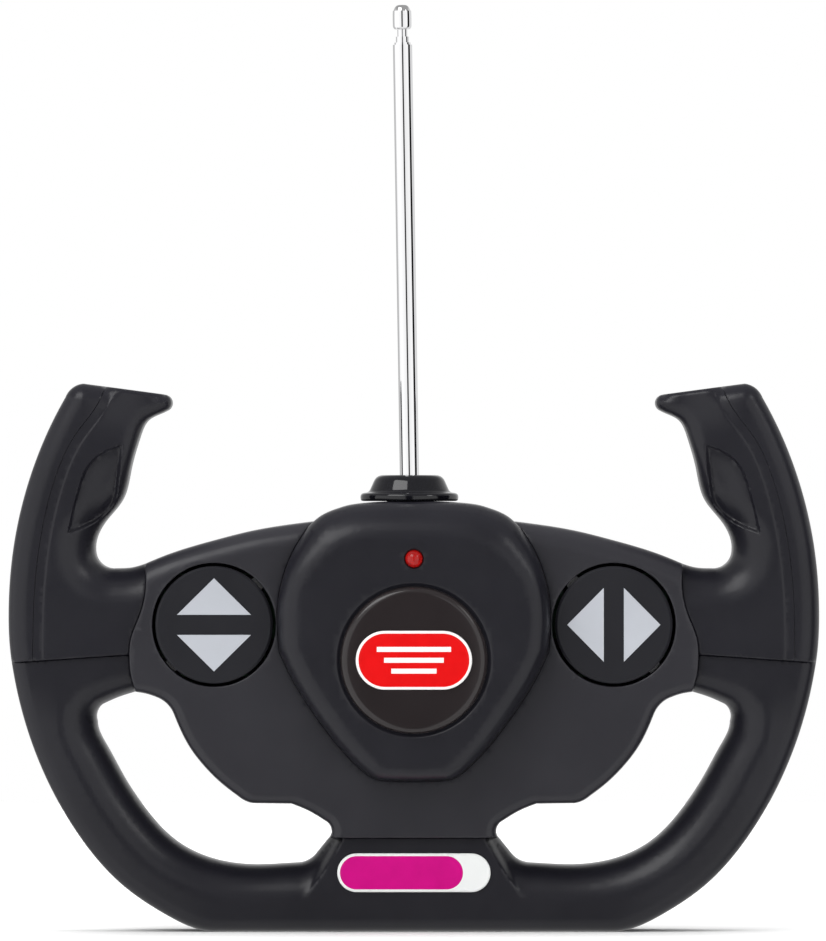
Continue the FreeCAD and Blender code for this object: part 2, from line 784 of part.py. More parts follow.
def make_bracket(label, place):
    """The moulded frame that carries a rocker's pin over the keypad."""
    bracket = new_body(label, place)
    plate = new_sketch(bracket, "XY_Plane", "board_thick + mat_thick")
    draw_polygon(plate, [("-mat_half", "-mat_half"), ("mat_half", "-mat_half"),
                         ("mat_half", "mat_half"), ("-mat_half", "mat_half")])
    for sign in ("", "-"):
        draw_circle(plate, "0", f"{sign}post_reach", "dome_base_radius + 0.3")
    for x, y in BRACKET_SCREWS:
        draw_circle(plate, str(x), str(y), "bracket_screw_radius")
    pad(bracket, plate, "bracket_plate")
    low = "board_thick + mat_thick + bracket_plate / 2"
    for sign in ("", "-"):
        ear = new_sketch(bracket, "YZ_Plane", f"{sign}(bracket_ear_out - bracket_ear / 2)")
        draw_polygon(ear, [("-3.5", low), ("3.5", low), ("2.2", "rocker_axis + 1.2"),
                           ("1.2", "rocker_axis + 2"), ("-1.2", "rocker_axis + 2"),
                           ("-2.2", "rocker_axis + 1.2")])
        pad(bracket, ear, "bracket_ear", midplane=True)
    bore = new_sketch(bracket, "YZ_Plane")
    draw_circle(bore, "0", "rocker_axis", "pin_radius")
    pocket_through(bracket, bore)


def make_keypad(label, place):
    """The rubber mat under a rocker, open where its two domes stand."""
    mat = new_body(label, place)
    sheet_outline = new_sketch(mat, "XY_Plane", "board_thick")
    draw_polygon(sheet_outline, [("-mat_half", "-mat_half"), ("mat_half", "-mat_half"),
                                 ("mat_half", "mat_half"), ("-mat_half", "mat_half")])
    for sign in ("", "-"):
        draw_circle(sheet_outline, "0", f"{sign}post_reach", "dome_base_radius")
    for x, y in BRACKET_SCREWS:
        draw_circle(sheet_outline, str(x), str(y), "bracket_screw_radius")
    pad(mat, sheet_outline, "mat_thick")


def make_key(label, x, y):
    """A rubber key: a solid boss held by a thin conical dome."""
    place = front(x, y)
    low = "board_thick + pill_gap"
    top = "post_low - boss_gap"
    turned(f"{label}_key_boss", place, [
        ("0", low), ("boss_radius - 0.3", low), ("boss_radius", f"{low} + 0.3"),
        ("boss_radius", top), ("0", top)])
    waist = "board_thick + pill_gap + 1.4"
    turned(f"{label}_key_dome", place, [
        ("dome_base_radius - dome_wall", "board_thick"), ("dome_base_radius", "board_thick"),
        ("dome_base_radius", "board_thick + mat_thick"), ("boss_radius + dome_wall", waist),
        ("boss_radius", waist), ("boss_radius", f"{waist} - dome_wall - 0.2"),
        ("dome_base_radius - dome_wall", "board_thick + mat_thick - 0.3")])


def make_controls():
    side = size("rocker_side")
    up = size("rocker_high")
    reach = size("post_reach")
    make_rocker("left", -side, 0)
    make_rocker("right", side, 90)
    make_key("forward", -side, up + reach)
    make_key("reverse", -side, up - reach)
    make_key("left", side - reach, up)
    make_key("right", side + reach, up)


# ---------------------------------------------------------------- aerial

def make_collar():
    """The gland that the aerial leaves the housing through."""
    place = Placement(Vector(size("collar_side"), -size("aerial_forward"), 0), Rotation())
    turned("antenna_collar", place, [
        ("collar_bore_radius", "collar_low"), ("collar_neck_radius", "collar_low"),
        ("collar_neck_radius", "collar_flange_low"),
        ("collar_flange_radius - 0.6", "collar_flange_low"),
        ("collar_flange_radius", "collar_flange_low + 0.6"),
        ("collar_flange_radius", "collar_flange_low + collar_flange_thick - 0.6"),
        ("collar_flange_radius - 0.6", "collar_flange_low + collar_flange_thick"),
        ("collar_cone_radius", "collar_flange_low + collar_flange_thick"),
        ("collar_top_radius", "collar_top - 1"), ("collar_top_radius - 1", "collar_top"),
        ("collar_bore_radius", "collar_top")])


def make_tube(label, radius, start, length):
    """One section of the telescopic aerial, open at both ends."""
    turned(label, along_aerial(start), [
        (f"{radius} - tube_wall", "0"), (radius, "0"), (radius, length),
        (f"{radius} - tube_wall", length)])


def make_aerial():
    make_collar()
    make_tube("antenna_base_tube", "tube_a_radius", 0.0, "aerial_length")
    make_tube("antenna_section_a", "tube_b_radius", 1.0, "aerial_length - 0.5")
    make_tube("antenna_section_b", "tube_c_radius", 2.0, "aerial_length - 0.2")
    stem_top = "aerial_length + knob_stem"
    turned("antenna_tip_rod", along_aerial(3.0), [
        ("0", "0"), ("rod_radius", "0"), ("rod_radius", f"{stem_top} - 3"),
        ("0", f"{stem_top} - 3")])
    turned("antenna_tip_knob", along_aerial(size(stem_top)), [
        ("0", "0"), ("rod_radius + 0.1", "0"), ("knob_radius", "1.2"),
        ("knob_radius", "knob_length - 1"), ("knob_radius - 0.8", "knob_length"),
        ("0", "knob_length")])
    ferrule = fused([
        Part.makeCylinder(size("ferrule_radius"), size("ferrule_length")),
        Part.makeBox(8, size("2 * ferrule_tab_half"), size("ferrule_length"),
                     Vector(2.8, -size("ferrule_tab_half"), 0)),
    ])
    across = size("ferrule_tab_reach")
    middle = size("ferrule_length / 2")
    thread = size("aerial_screw_radius")
    ferrule = ferrule.cut([
        Part.makeCylinder(size("tube_a_radius"), size("ferrule_length")),
        Part.makeCylinder(thread, 4, Vector(across, -2, middle), Vector(0, 1, 0)),
    ])
    piece("antenna_ferrule", ferrule, along_aerial())
    head = Part.makeCylinder(2.0, 1.2, Vector(across, -1.8, middle), Vector(0, 1, 0))
    shank = Part.makeCylinder(thread, 7.0, Vector(across, -0.6, middle), Vector(0, 1, 0))
    piece("antenna_screw", fused([head, shank]), along_aerial())


# ---------------------------------------------------------------- electronics

def make_board():
    """The main circuit board: a bridge with a lobe under each rocker."""
    board = new_body("main_pcb")
    outline = new_sketch(board, "XY_Plane")
    right = [("6", "85.5"), ("6", "79.5"), ("56.5", "79.5"), ("56.5", "56.5"), ("33", "56.5"),
             ("33", "65")]
    left = [(f"-{x}", y) for x, y in reversed(right)]
    draw_polygon(outline, right + left)
    for x, y in BOARD_SCREWS:
        draw_circle(outline, str(x), str(y), "board_screw_radius")
    for x, y in bracket_screw_spots():
        draw_circle(outline, str(x), str(y), "bracket_screw_radius")
    for x in ("-lamp_leg_side", "lamp_leg_side"):
        draw_circle(outline, x, "lamp_high", "lamp_leg_radius")
    pad(board, outline, "board_thick")


def make_components():
    top = size("board_thick")
    chip = block(-5, 5, 69.0, 72.9, top + 0.1, top + 1.6)
    legs = [
        block(-4.6 + 1.27 * index, -4.2 + 1.27 * index, low, low + 1.0, top, top + 0.7)
        for index in range(8) for low in (68.0, 72.9)
    ]
    piece("controller_ic", fused([chip] + legs))
    can = stadium(10.8, 4.6, 3.5)
    piece("crystal_can", can, front(16.0, 70.5, top))
    canisters = [disc(x, 76.0, radius, top, top + tall)
                 for x, radius, tall in ((-16.0, 2.5, 7.0), (-10.0, 2.0, 5.5))]
    piece("capacitors", Part.makeCompound(canisters))
    rolls = []
    for index in range(4):
        low = -24.0 + 3.4 * index
        rolls.append(Part.makeCylinder(0.9, 6.0, Vector(low, 66.5, top + 0.9), Vector(0, 1, 0)))
    piece("resistors", Part.makeCompound(rolls))
    former = disc(0, 0, 1.6, 0, 7.0)
    winding = Part.makeCylinder(2.3, 4.5, Vector(0, 0, 1.2))
    piece("rf_coil", fused([former, winding]), front(10.5, 76.0, top))


def make_power():
    """The battery and its snap. Returns the snap's outer side, and where the wires start."""
    left = size("battery_left")
    low = size("battery_low")
    back = -size("battery_back")
    stud = size("battery_stud")
    right = left + size("battery_length")
    high = low + size("battery_width")
    out = back + size("battery_thick")
    case = block(left, right - stud, low, high, back, out)
    middle = back + size("battery_thick") / 2
    studs = [Part.makeCylinder(radius, stud, Vector(right - stud, y, middle), Vector(1, 0, 0))
             for y, radius in ((low + 6.8, 2.9), (high - 6.8, 3.6))]
    case = fused([case.makeFillet(1.5, [edge for edge in case.Edges
                                        if abs(edge.BoundBox.XLength) > 40])] + studs)
    piece("battery_9v", case)
    outer = right + size("snap_thick")
    snap = block(right, outer, low + 0.6, high - 0.6, back + 2.2, out - 2.2)
    piece("battery_snap", snap)
    return outer, low, middle


def cord_tube(points, radius):
    """A round lead along straight runs joined by tangent arcs."""
    spots = [Vector(*point) for point in points]
    edges = []
    start = spots[0]
    for before, corner, after in zip(spots, spots[1:], spots[2:]):
        inward = (before - corner).normalize()
        outward = (after - corner).normalize()
        half_turn = (math.pi - inward.getAngle(outward)) / 2
        shorter = min((before - corner).Length, (after - corner).Length)
        bend = 0.45 * shorter / math.tan(half_turn)
        reach = 0.45 * shorter
        begin = corner + inward * reach
        finish = corner + outward * reach
        to_centre = (inward + outward).normalize() * (bend / math.cos(half_turn))
        centre = corner + to_centre
        middle = centre - (to_centre.normalize() * bend)
        edges.append(Part.LineSegment(start, begin).toShape())
        edges.append(Part.Arc(begin, middle, finish).toShape())
        start = finish
        print(f"  lead bend radius {bend:.1f} mm")
    edges.append(Part.LineSegment(start, spots[-1]).toShape())
    path = Part.Wire(edges)
    direction = spots[1] - spots[0]
    section = Part.Wire(Part.makeCircle(radius, spots[0], direction))
    tube = path.makePipeShell([section], True, False)
    expected = math.pi * radius ** 2 * path.Length
    print(f"  lead volume {tube.Volume:.2f} of {expected:.2f} mm3, length {path.Length:.1f}")
    return tube


def make_leads():
    radius = size("lead_radius")
    right, low, middle = make_power()
    board_back = 0.0
    starts = (("red", low + 9.0, 0.5, 0.6), ("black", low + 17.0, -1.9, -1.9))
    for colour, y, aside, shift in starts:
        route = [(right, y, middle), (right + 2.0, y + 1.0, middle + 1.6),
                 (right + 2.7 + aside, y + 4.2, middle + 3.2),
                 (right + 2.4 + shift, 60.4, middle + 3.8), (right + 2.2 + shift, 66.4, -4.2),
                 (right + 1.8 + shift, 70.8, -3.6), (right + 1.6 + shift, 72.8, board_back)]
        piece(f"battery_lead_{colour}", cord_tube(route, radius))
    route = [(8.9, 86.2, 3.0), (9.4, 83.9, 3.5), (9.9, 81.6, 4.6), (9.5, 79.4, 4.1),
             (8.8, 78.3, size("board_thick"))]
    piece("antenna_lead", cord_tube(route, radius * 0.8))


# ---------------------------------------------------------------- door and screws

def make_door():
    """The battery lid: it swings on two stub pins at its lower edge."""
    half = size("door_half")
    axis_high = size("door_axis_high")
    axis_back = -size("door_axis_back")
    rear = -size("hump_rear")
    plate = block(-half, half, axis_high, size("door_high"), rear, rear + size("door_thick"))
    knuckle = Part.makeCylinder(
        size("door_knuckle_radius"), 2 * half, Vector(-half, axis_high, axis_back),
        Vector(1, 0, 0))
    stub_reach = size("bay_half + door_pin_reach")
    stubs = Part.makeCylinder(size("door_pin_radius"), 2 * stub_reach,
                              Vector(-stub_reach, axis_high, axis_back), Vector(1, 0, 0))
    ribs = [block(-18, 18, 38.2 + 3.2 * index, 39.4 + 3.2 * index, rear - 0.6, rear + 0.5)
            for index in range(4)]
    up = size("door_screw_high")
    thread = size("door_screw_radius")
    wide = size("door_screw_head_radius")
    screw_hole = disc(0, up, thread, rear - 1, rear + 3)
    sink = disc(0, up, wide + 0.1, rear - 1, rear + 0.9)
    door = fused([plate, knuckle, stubs] + ribs).cut([screw_hole, sink])
    piece("battery_door", door)
    head = disc(0, up, wide, rear + 0.1, rear + 0.9)
    shank = disc(0, up, thread, rear + 0.9, rear + 4.6)
    slot = cross_slot(0, up, rear + 0.1, 0.5)
    piece("battery_door_screw", fused([head, shank]).cut(slot))


def cross_slot(x, y, depth, deep):
    """The cross recess in a screw head that faces backwards."""
    return [block(x - 1.3, x + 1.3, y - 0.3, y + 0.3, depth - 1, depth + deep),
            block(x - 0.3, x + 0.3, y - 1.3, y + 1.3, depth - 1, depth + deep)]


def make_screws():
    """The self-tapping screws that close the housing, driven from behind."""
    screws = []
    depths = {"rim": "rim_depth", "hub": "hub_rear", "grip": "grip_depth"}
    for name, places in HOUSING_SCREWS.items():
        floor = size("screw_sink") - size(depths[name])
        for x, y in both_sides(places):
            head = disc(x, y, size("screw_head_radius"), floor - size("screw_head"), floor)
            shank = disc(x, y, size("screw_radius"), floor, size("screw_reach"))
            slot = cross_slot(x, y, floor - size("screw_head"), 0.9)
            screws.append(fused([head, shank]).cut(slot))
    piece("housing_screws", Part.makeCompound(screws))


def make_small_screws():
    """The screws that hold the board and the two brackets."""
    top = size("board_thick")
    board = []
    for x, y in BOARD_SCREWS:
        shank = disc(x, y, size("board_screw_radius"), -3.0, top)
        board.append(fused([disc(x, y, 2.2, top, top + 1.4), shank]))
    piece("pcb_screws", Part.makeCompound(board))
    plate_top = size("board_thick + mat_thick + bracket_plate")
    held = []
    for x, y in bracket_screw_spots():
        head = disc(x, y, 1.6, plate_top, plate_top + 1.0)
        shank = disc(x, y, size("bracket_screw_radius"), -4.0, plate_top)
        held.append(fused([head, shank]))
    piece("bracket_screws", Part.makeCompound(held))


# ---------------------------------------------------------------- the assembly

make_rim()
make_hub_front()
make_pod()
make_hub_rear()
make_grips()
make_emblem()
make_lamp()
make_controls()
make_aerial()
make_board()
make_components()
make_leads()
make_door()
make_screws()
make_small_screws()
doc.recompute()

for item in doc.Objects:
    if "Invalid" in item.State or "Error" in item.State:
        raise RuntimeError(f"{item.Label} failed: {item.State}")

os.makedirs("parts", exist_ok=True)
broken = [item.Label for item in exported if item.Shape.isNull() or not item.Shape.isValid()]
if broken:
    raise RuntimeError(f"no valid shape: {broken}")
for item in exported:
    item.Shape.exportStep(f"parts/{item.Label}.step")
    print(f"{item.Label:22s} solids {len(item.Shape.Solids):2d} volume {item.Shape.Volume:9.1f}")
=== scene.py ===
import math

import bmesh
import bpy
import numpy as np
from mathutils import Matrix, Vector
from mathutils.geometry import delaunay_2d_cdt


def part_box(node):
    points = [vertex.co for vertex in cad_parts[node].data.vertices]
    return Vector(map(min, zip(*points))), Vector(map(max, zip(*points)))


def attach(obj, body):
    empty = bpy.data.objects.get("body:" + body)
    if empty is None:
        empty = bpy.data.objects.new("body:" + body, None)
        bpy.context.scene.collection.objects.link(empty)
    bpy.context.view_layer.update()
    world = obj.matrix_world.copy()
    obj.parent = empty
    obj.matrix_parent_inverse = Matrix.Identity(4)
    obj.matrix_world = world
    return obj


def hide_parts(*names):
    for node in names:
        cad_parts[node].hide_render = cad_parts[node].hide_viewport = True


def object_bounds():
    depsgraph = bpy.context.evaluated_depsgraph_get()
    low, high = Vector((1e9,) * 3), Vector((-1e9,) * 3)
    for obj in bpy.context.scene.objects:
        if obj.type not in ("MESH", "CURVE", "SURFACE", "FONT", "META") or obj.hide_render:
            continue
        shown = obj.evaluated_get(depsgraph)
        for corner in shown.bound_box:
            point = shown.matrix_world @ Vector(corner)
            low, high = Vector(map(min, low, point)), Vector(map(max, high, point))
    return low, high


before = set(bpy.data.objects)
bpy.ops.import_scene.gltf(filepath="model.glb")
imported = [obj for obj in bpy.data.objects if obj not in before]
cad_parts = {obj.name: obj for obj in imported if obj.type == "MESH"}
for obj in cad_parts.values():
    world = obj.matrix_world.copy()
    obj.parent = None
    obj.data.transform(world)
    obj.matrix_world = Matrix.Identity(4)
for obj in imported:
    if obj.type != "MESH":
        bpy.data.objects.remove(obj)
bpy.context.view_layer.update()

# The housings are rebuilt here as moulded shells. Their outlines are drawn in millimetres
# in "front" coordinates: u to the right, v up, and w out of the front of the controller.
MM = 0.001


# ------------------------------------------------------------------ curves

def smooth_curve(points, start=None, end=None, step=0.7):
    """A cubic spline through points, sampled about every step millimetres."""
    knots = np.array(points, float)
    chords = np.linalg.norm(np.diff(knots, axis=0), axis=1)
    t = np.concatenate([[0], np.cumsum(chords)])
    count = len(knots)
    system = np.zeros((count, count))
    right = np.zeros((count, 2))
    for i in range(1, count - 1):
        before, after = chords[i - 1], chords[i]
        system[i, i - 1:i + 2] = (after, 2 * (before + after), before)
        slopes = np.diff(knots[i - 1:i + 2], axis=0) / np.array([[before], [after]])
        right[i] = 3 * (after * slopes[0] + before * slopes[1])
    for row, other, chord, tangent in ((0, 1, chords[0], start), (-1, -2, chords[-1], end)):
        system[row, row] = 1
        if tangent is None:
            system[row, other] = 0.5
            far, near = (knots[1], knots[0]) if row == 0 else (knots[-1], knots[-2])
            right[row] = 1.5 * (far - near) / chord
        else:
            right[row] = np.array(tangent) / np.linalg.norm(tangent)
    slopes = np.linalg.solve(system, right)
    pieces = []
    for i in range(count - 1):
        number = max(2, int(round(chords[i] / step)))
        s = np.linspace(0, 1, number, endpoint=False)[:, None]
        h = chords[i]
        pieces.append((2 * s**3 - 3 * s**2 + 1) * knots[i] + (s**3 - 2 * s**2 + s) * h * slopes[i]
                      + (3 * s**2 - 2 * s**3) * knots[i + 1] + (s**3 - s**2) * h * slopes[i + 1])
    pieces.append(knots[-1:])
    return np.concatenate(pieces)


def straight(start, end, step=0.9):
    """Evenly spaced points from start to end."""
    number = max(2, int(round(math.dist(start, end) / step)) + 1)
    return np.linspace(start, end, number)


def arc(start, middle, end, step=0.4):
    """A circular arc through three points."""
    (ax, ay), (bx, by), (cx, cy) = start, middle, end
    d = 2 * (ax * (by - cy) + bx * (cy - ay) + cx * (ay - by))
    aa, bb, cc = ax**2 + ay**2, bx**2 + by**2, cx**2 + cy**2
    x = (aa * (by - cy) + bb * (cy - ay) + cc * (ay - by)) / d
    y = (aa * (cx - bx) + bb * (ax - cx) + cc * (bx - ax)) / d
    radius = math.dist((x, y), start)
    first, mid, last = (math.atan2(py - y, px - x) for px, py in (start, middle, end))
    turn = (last - first) % (2 * math.pi)
    if (mid - first) % (2 * math.pi) > turn:
        turn -= 2 * math.pi
    angles = first + np.linspace(0, 1, max(4, int(abs(turn) * radius / step) + 1)) * turn
    return np.stack([x + radius * np.cos(angles), y + radius * np.sin(angles)], axis=1)


def circle(x, y, radius, count):
    """A closed circle of count chords."""
    angles = np.linspace(0, 2 * math.pi, count + 1)
    return np.stack([x + radius * np.cos(angles), y + radius * np.sin(angles)], axis=1)


def rounded_box(left, right, low, high, radius, step=0.5):
    """A rectangle's outline with round corners, closed."""
    turns = np.linspace(0, math.pi / 2, max(3, int(radius * 1.6 / step)))
    corners = ((right - radius, high - radius, 0), (left + radius, high - radius, 1),
               (left + radius, low + radius, 2), (right - radius, low + radius, 3))
    points = []
    for x, y, quarter in corners:
        angles = turns + quarter * math.pi / 2
        points += [(x + radius * math.cos(a), y + radius * math.sin(a)) for a in angles]
    points.append(points[0])
    dense = [straight(a, b, 1.2)[:-1] for a, b in zip(points, points[1:])]
    return np.concatenate(dense + [np.array(points[-1:])])


def flip(line):
    """The same line on the other side of the middle."""
    return line * np.array([-1.0, 1.0])


def chain(lines):
    """Joins lines that meet end to end into one loop."""
    left = [np.array(line) for line in lines]
    loop = left.pop(0)
    while left:
        gaps = [min(np.linalg.norm(line[0] - loop[-1]), np.linalg.norm(line[-1] - loop[-1]))
                for line in left]
        line = left.pop(int(np.argmin(gaps)))
        if np.linalg.norm(line[0] - loop[-1]) > np.linalg.norm(line[-1] - loop[-1]):
            line = line[::-1]
        loop = np.concatenate([loop, line[1:]])
    return loop


# ------------------------------------------------------------------ fields

def distance(points, lines):
    """How far each point is from the nearest of the lines."""
    best = np.full(len(points), 1e9)
    for line in lines:
        a, b = line[:-1], line[1:]
        along = b - a
        length = np.maximum((along**2).sum(1), 1e-12)
        for low in range(0, len(points), 1500):
            part = points[low:low + 1500, None, :] - a[None]
            t = np.clip((part * along[None]).sum(2) / length, 0, 1)
            gap = np.linalg.norm(part - t[..., None] * along[None], axis=2).min(1)
            best[low:low + 1500] = np.minimum(best[low:low + 1500], gap)
    return best


def inside(points, loop):
    """Whether each point lies within a closed loop."""
    x, y = points[:, 0], points[:, 1]
    result = np.zeros(len(points), bool)
    for (ax, ay), (bx, by) in zip(loop[:-1], loop[1:]):
        if ay == by:
            continue
        crosses = (ay > y) != (by > y)
        result ^= crosses & (x < ax + (y - ay) * (bx - ax) / (by - ay))
    return result


def ease(value, low, high):
    """0 below low, 1 above high, and smooth between."""
    t = np.clip((value - low) / (high - low), 0, 1)
    return t * t * (3 - 2 * t)


def drop(gap, radius, depth=None):
    """How far a rounded edge falls away, this far in from the edge."""
    t = np.clip(gap / radius, 0, 1)
    return (radius if depth is None else depth) * (1 - np.sqrt(np.maximum(0, 1 - (1 - t)**2)))


# ------------------------------------------------------------------ shells

RING_SHARES = (0.02, 0.08, 0.17, 0.3, 0.45, 0.62, 0.81, 1.0)
WALL_SHARES = (0.96, 1.04)
SEAM_ROUND = 0.35
BAND_ROUND = 0.1
CHANNEL = 2.4
CHANNEL_DEPTH = 0.16
WALL = 2.0
SOLID = 30.0        # a wall thicker than any part, which leaves nothing hollow
POINT_CELL = 0.12   # of the free points in a cell this wide, one is kept
LINE_CLEAR = 0.05   # free points stay this far from the fixed lines
THIN = 1e-7         # triangles are dropped when twice their area is less than this
WELD_GAP = 1e-7     # metres
SHARP_ANGLE = 38    # degrees


def rings(line, reach, shares=RING_SHARES):
    """Points at set distances to each side of a line, for a rounded edge's cross-section.

    Points that another stretch of the line comes nearer to are left out."""
    tangent = np.gradient(line, axis=0)
    tangent /= np.maximum(np.linalg.norm(tangent, axis=1)[:, None], 1e-9)
    normal = np.stack([-tangent[:, 1], tangent[:, 0]], axis=1)
    sets = []
    for share in shares:
        gap = share * reach
        for side in (-1, 1):
            spots = line + side * gap * normal
            sets.append(spots[distance(spots, [line]) > gap * 0.97 - 1e-6])
    return np.concatenate(sets)


def shell(name, edges, keep, height, floor=0.0, details=(), grid=1.5, facing=1.0,
          wall=WALL):
    """A moulded half shell over an outline: a shaped skin, side walls and a hollow back.

    edges holds (line, rounding reach) pairs that bound the panel; details holds extra
    points; height gives the skin's w, and facing is -1 for a rear shell."""
    lines = [line for line, reach in edges]
    corners = []
    segments = []
    for line in lines:
        first = sum(len(part) for part in corners)
        corners.append(line)
        segments += [(first + i, first + i + 1) for i in range(len(line) - 1)]
    fixed = np.concatenate(corners)
    scattered = [rings(line, reach) for line, reach in edges]
    scattered += [rings(line, wall, WALL_SHARES) for line in lines]
    scattered += list(details)
    low, high = fixed.min(0), fixed.max(0)
    across, up = np.meshgrid(np.arange(low[0], high[0], grid), np.arange(low[1], high[1], grid))
    scattered.append(np.stack([across.ravel(), up.ravel()], axis=1))
    free = np.concatenate(scattered)
    free = free[keep(free)]
    free = free[distance(free, lines) > LINE_CLEAR]
    cells = np.round(free / POINT_CELL).astype(int)
    kept = np.unique(cells, axis=0, return_index=True)[1]
    free = free[np.sort(kept)]
    points = np.concatenate([fixed, free])
    found = delaunay_2d_cdt([Vector(p) for p in points], segments, [], 0, 1e-5)
    flat = np.array([tuple(v) for v in found[0]])
    faces = np.array([face for face in found[2] if len(face) == 3])
    a, b, c = (flat[faces[:, i]] for i in range(3))
    twice_area = np.abs(np.cross(b - a, c - a))
    faces = faces[keep((a + b + c) / 3) & (twice_area > THIN)]
    used = np.unique(faces)
    renumber = np.full(len(flat), -1)
    renumber[used] = np.arange(len(used))
    flat, faces = flat[used], renumber[faces]

    gap = distance(flat, lines)
    top = height(flat)
    hollow = gap > wall
    back = np.where(hollow, top - facing * wall, floor)
    count = len(flat)
    places = np.concatenate([np.column_stack([flat, top]), np.column_stack([flat, back])])
    polygons = [tuple(face) for face in faces]
    polygons += [tuple(face[::-1] + count) for face in faces]
    sides = {}
    for face in faces:
        for i in range(3):
            edge = (int(face[i]), int(face[(i + 1) % 3]))
            sides[edge] = sides.get(edge, 0) + 1
    for start, end in sides:
        if (end, start) not in sides:
            polygons.append((end, start, start + count, end + count))
    return solid_mesh(name, places, polygons)


def solid_mesh(name, places, polygons):
    """A mesh from front coordinates in millimetres, with its normals facing out."""
    mesh = bpy.data.meshes.new(name)
    world = np.column_stack([places[:, 0], -places[:, 2], places[:, 1]]) * MM
    mesh.from_pydata([tuple(p) for p in world], [], polygons)
    mesh.validate()
    item = bpy.data.objects.new(name, mesh)
    bpy.context.scene.collection.objects.link(item)
    tidy_normals(item)
    return item


def tidy_normals(item):
    """Welds what meets, turns the faces outwards and shades all but sharp edges smooth."""
    work = bmesh.new()
    work.from_mesh(item.data)
    bmesh.ops.remove_doubles(work, verts=work.verts, dist=WELD_GAP)
    bmesh.ops.recalc_face_normals(work, faces=work.faces)
    for face in work.faces:
        face.smooth = True
    work.to_mesh(item.data)
    work.free()
    item.data.set_sharp_from_angle(angle=math.radians(SHARP_ANGLE))


def lathe(name, profile, centre, turn=96, up=None, bored=False):
    """A turned solid: profile is (radius, height) pairs about an axis in front coordinates.

    The axis points out of the front, or along up. A bored profile closes on itself."""
    angles = np.linspace(0, 2 * math.pi, turn, endpoint=False)
    places = []
    polygons = []
    rows = len(profile)
    for radius, high in profile:
        places += [(radius * math.cos(a), radius * math.sin(a), high) for a in angles]
    for row in range(rows if bored else rows - 1):
        after = (row + 1) % rows
        for i in range(turn):
            j = (i + 1) % turn
            polygons.append((row * turn + i, row * turn + j, after * turn + j,
                             after * turn + i))
    if not bored:
        polygons.append(tuple(range(turn))[::-1])
        polygons.append(tuple((rows - 1) * turn + i for i in range(turn)))
    places = np.array(places)
    if up is not None:
        tilt = Vector((0, 0, 1)).rotation_difference(Vector(up)).to_matrix()
        places = places @ np.array(tilt).T
    return solid_mesh(name, places + np.array(centre), polygons)


def joined(name, items):
    """One object from several, in place."""
    bpy.ops.object.select_all(action="DESELECT")
    for item in items:
        item.select_set(True)
    bpy.context.view_layer.objects.active = items[0]
    bpy.ops.object.join()
    items[0].name = name
    return items[0]


# ------------------------------------------------------------------ outlines

SEAM_FOOT = (61.7, 53.3)
SEAM_STEP = (63.1, 61.6)
SEAM_TOP = (59.7, 81.7)
SHOULDER = (89.3, 59.8)
NECK = (18.6, 21.0)
BAND_FOOT = (84.5, 60.13)
BAND_TOP = (68.5, 121.05)
HORN_CORNER = (73.4, 121.7)
HORN_TIP = (55.4, 119.3)
WING_TOP = (22.9, 91.0)

seam_low = smooth_curve([SEAM_STEP, (62.8, 57.5), SEAM_FOOT])
seam_high = smooth_curve([SEAM_TOP, (59.4, 77.4), (60.9, 70.0), (62.8, 64.8), SEAM_STEP])
rim_outer = smooth_curve([(44.2, 0), (55.2, 3.8), (65.4, 10.9), (74.5, 21.5), (82.4, 35.7),
                          (87.3, 49.9), SHOULDER], (1, 0), (0.156, 0.988))
rim_base = straight((-44.2, 0), (44.2, 0))
rim_seam = straight(SHOULDER, SEAM_STEP)
rim_opening = chain([
    smooth_curve([SEAM_FOOT, (66.0, 51.9), (68.7, 50.7)]),
    arc((68.7, 50.7), (70.4, 49.0), (70.5, 46.6)),
    smooth_curve([(70.5, 46.6), (68.3, 41.0), (64.4, 33.9), (59.6, 26.8), (52.9, 19.9),
                  (45.6, 16.2), (35.4, 14.6), (26.0, 15.0)], (0, -1), (-1, 0.05)),
    arc((26.0, 15.0), (23.6, 15.6), (22.0, 16.8)),
    straight((22.0, 16.8), NECK),
])
neck_seam = straight((-NECK[0], NECK[1]), NECK)
hub_opening = chain([
    smooth_curve([SEAM_FOOT, (59.0, 52.8), (57.0, 52.1)]),
    arc((57.0, 52.1), (54.8, 50.7), (53.3, 48.5)),
    smooth_curve([(53.3, 48.5), (50.2, 41.8), (46.3, 36.6), (42.4, 32.8), (39.0, 30.2)]),
    arc((39.0, 30.2), (37.5, 29.2), (35.6, 28.6)),
    straight((35.6, 28.6), (27.2, 28.5)),
    smooth_curve([(27.2, 28.5), (23.5, 27.0), (19.8, 24.8)]),
    arc((19.8, 24.8), (18.3, 22.9), NECK),
])
wing_top = smooth_curve([SEAM_TOP, (55.1, 83.6), (49.7, 85.4), (43.6, 87.1), (36.4, 88.9),
                         WING_TOP])
hub_crown = straight((-WING_TOP[0], WING_TOP[1]), WING_TOP)
pod_right = chain([
    smooth_curve([(0, 95.6), (10.9, 95.2), (16.3, 94.2)], (1, 0), (0.94, -0.34)),
    smooth_curve([(16.3, 94.2), (20.6, 92.4), (23.4, 90.0)]),
    smooth_curve([(23.4, 90.0), (26.7, 84.6), (29.0, 78.7), (30.3, 70.0), (29.8, 62.3)]),
    smooth_curve([(29.8, 62.3), (27.6, 57.5), (22.6, 49.2), (17.2, 41.9)]),
    smooth_curve([(17.2, 41.9), (14.0, 38.4), (11.0, 35.6), (9.2, 34.4), (7.0, 33.7)]),
    straight((7.0, 33.7), (0, 33.5)),
])
